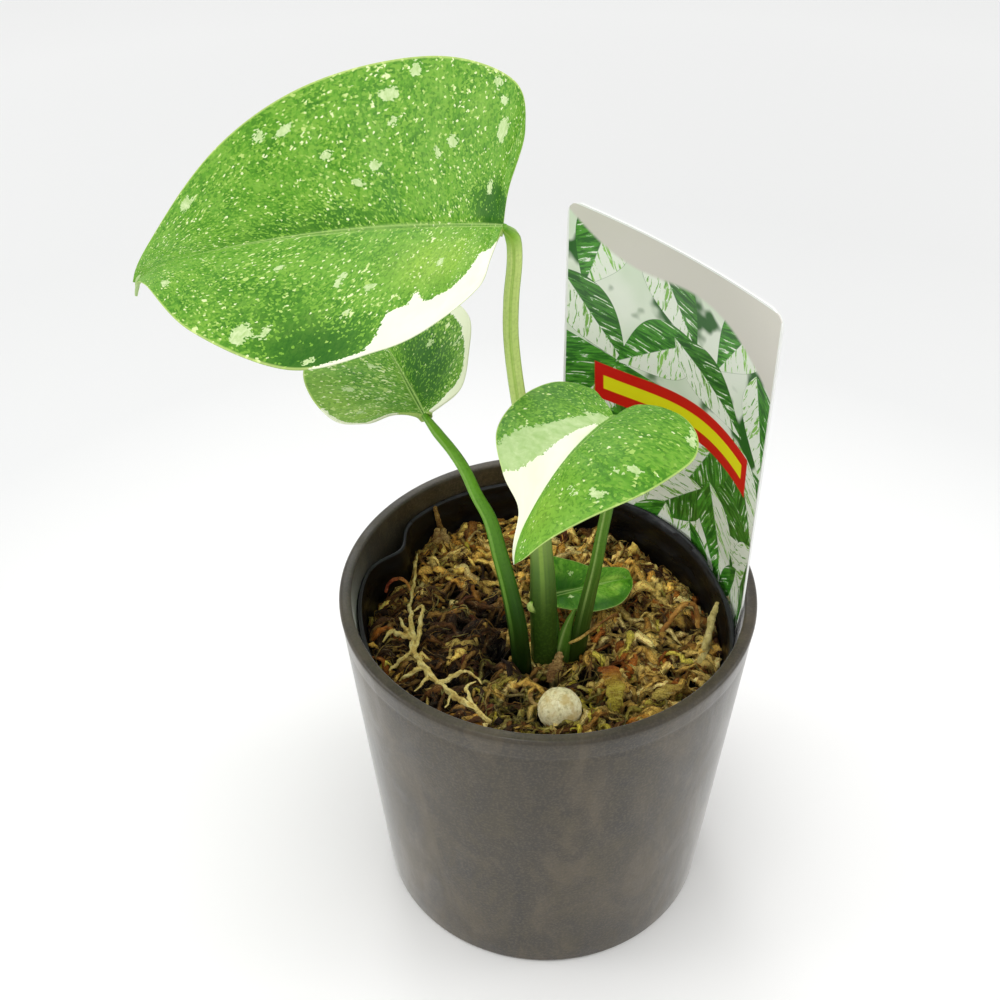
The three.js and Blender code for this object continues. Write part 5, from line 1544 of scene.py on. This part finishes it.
def printedCard():
    material, tree, shader = startMaterial("printedCard", Roughness=0.3)
    inks = {name: linear(*colour) for name, colour in label["inks"].items()}
    at = uvPlace(tree, "cardMap", (100, 100, 1))  # millimetres across and up
    across, up, _ = split(tree, at)
    haze = cloud(tree, at, 0.05, 2)
    colour = blend(tree, stretch(tree, haze, 0.35, 0.65), inks["paper"], inks["haze"])
    colour = blend(tree, stretch(tree, cloud(tree, at, 0.09, 2), 0.52, 0.62), colour, inks["dark"])
    group = leafMotif()
    for x, y, turn, long, wide, gain, flipped in label["leaves"]:
        node = put(tree, "ShaderNodeGroup", node_tree=group)
        tree.links.new(at, node.inputs["At"])
        node.inputs["Place"].default_value = (x, y, 0)
        node.inputs["Turn"].default_value = (0, 0, math.radians(turn))
        node.inputs["Size"].default_value = (long, -wide if flipped else wide, 1)
        mask, side, streak = node.outputs
        dark, mid, light = [tuple(c * gain for c in inks[name][:3]) + (1.0,) for name in ("dark", "mid", "light")]
        greenHalf = blend(tree, stretch(tree, streak, 0.40, 0.56), dark, mid)
        greenHalf = blend(tree, stretch(tree, streak, 0.60, 0.63), greenHalf, inks["pale"])
        paleHalf = blend(tree, stretch(tree, streak, 0.55, 0.58), inks["pale"], light)
        paleHalf = blend(tree, stretch(tree, streak, 0.62, 0.64), paleHalf, mid)
        leafColour = blend(tree, stretch(tree, side, -0.02, 0.02), greenHalf, paleHalf)
        rim = times(tree, stretch(tree, mask, 0.0, 0.5), stretch(tree, mask, 0.5, 1.0, 1.0, 0.0))
        leafColour = blend(tree, rim, leafColour, dark)
        colour = blend(tree, stretch(tree, mask, 0.2, 0.8), colour, leafColour)
    # plain grey field along the top, with a waved lower edge
    sway = times(tree, maths(tree, "SINE", times(tree, across, 0.10)), 4.0)
    leaning = plus(tree, plus(tree, up, times(tree, across, 0.26)), sway)
    colour = blend(tree, stretch(tree, leaning, *label["greyFrom"]), colour, inks["grey"])
    # plain red band with a yellow stripe
    middle, start, end = label["band"]
    wave = plus(tree, up, times(tree, maths(tree, "SINE", times(tree, across, 0.11)), 1.2))
    away = maths(tree, "ABSOLUTE", minus(tree, wave, middle))
    for inset, name, reach in label["stripes"]:
        sides = times(tree, stretch(tree, across, start + inset, start + inset + 0.4),
                      stretch(tree, across, end - inset, end - inset + 0.4, 1.0, 0.0))
        height = stretch(tree, away, reach, reach + 0.3, 1.0, 0.0)
        colour = blend(tree, times(tree, height, sides), colour, inks[name])
    # white border and white back
    edge = maths(tree, "MINIMUM", across, minus(tree, label["width"], across))
    edge = maths(tree, "MINIMUM", edge, minus(tree, label["top"] - label["bottom"], up))
    colour = blend(tree, stretch(tree, edge, *label["border"], 1.0, 0.0), colour, inks["edge"])
    front = stretch(tree, attribute(tree, "front"), 0.45, 0.55)
    paint(tree, shader, blend(tree, front, ramp(tree, haze, label["back"]), colour))
    relief(tree, shader, cloud(tree, at, 1.2, 2), 0.05, 0.0002)
    return material


def buildLabel():
    bm = bmesh.new()
    front = bm.verts.layers.float.new("front")
    uv = bm.loops.layers.uv.new("cardMap")
    made = bmesh.ops.create_grid(bm, x_segments=label["columns"], y_segments=label["rows"], size=0.5)
    tall, corner, width = label["top"] - label["bottom"], label["corner"], label["width"]

    def cardAt(across, up):
        z = label["bottom"] + up * tall
        near = min(up * tall, tall - up * tall, corner)
        inset = (corner - math.sqrt(max(corner ** 2 - (corner - near) ** 2, 0))) / width
        return inset + (1 - 2 * inset) * across, z

    spots = {}
    for vert in made["verts"]:
        spots[vert] = cardAt(vert.co.x + 0.5, vert.co.y + 0.5)
        vert[front] = 1.0
    for face in bm.faces:
        for loop in face.loops:
            share, z = spots[loop.vert]
            loop[uv].uv = ((1 - share) * width / 100, (z - label["bottom"]) / 100)
    for vert, (share, z) in spots.items():
        vert.co = labelPlace(share, z, -label["thickness"] / 2)
    back = bmesh.ops.extrude_face_region(bm, geom=bm.faces[:], use_keep_orig=True)["geom"]
    for vert in back:
        if isinstance(vert, bmesh.types.BMVert):
            vert[front] = 0.0
            vert.co += labelOutward(vert.co) * label["thickness"]
    bmesh.ops.recalc_face_normals(bm, faces=bm.faces)
    finishPiece("printed_label", bm, [printedCard()], "plant_label", ["plant_label"], 40)


def labelOutward(at):
    rightX, rightY, leftX, leftY, _ = labelStation(at.z, *label["stations"][1:])
    return Vector((leftY - rightY, rightX - leftX, 0)).normalized()


buildLabel()


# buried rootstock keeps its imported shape
buried = {"colours": [(0.35, (70, 52, 24)), (0.5, (112, 96, 48)), (0.65, (140, 128, 76))]}


def rootstockSkin():
    material, tree, shader = startMaterial("rootstockSkin", Roughness=0.8)
    at = objectPlace(tree)
    paint(tree, shader, ramp(tree, cloud(tree, at, 300, 4, 0.65, 0.5), buried["colours"]))
    relief(tree, shader, cloud(tree, at, 1100, 3, 0.7), 0.5, 0.0005)
    return material


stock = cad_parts["rootstock"]
stock.data.materials.clear()
stock.data.materials.append(rootstockSkin())
print("rootstock dressed")


# finish

def noteSize():
    print("finished")


noteSize()
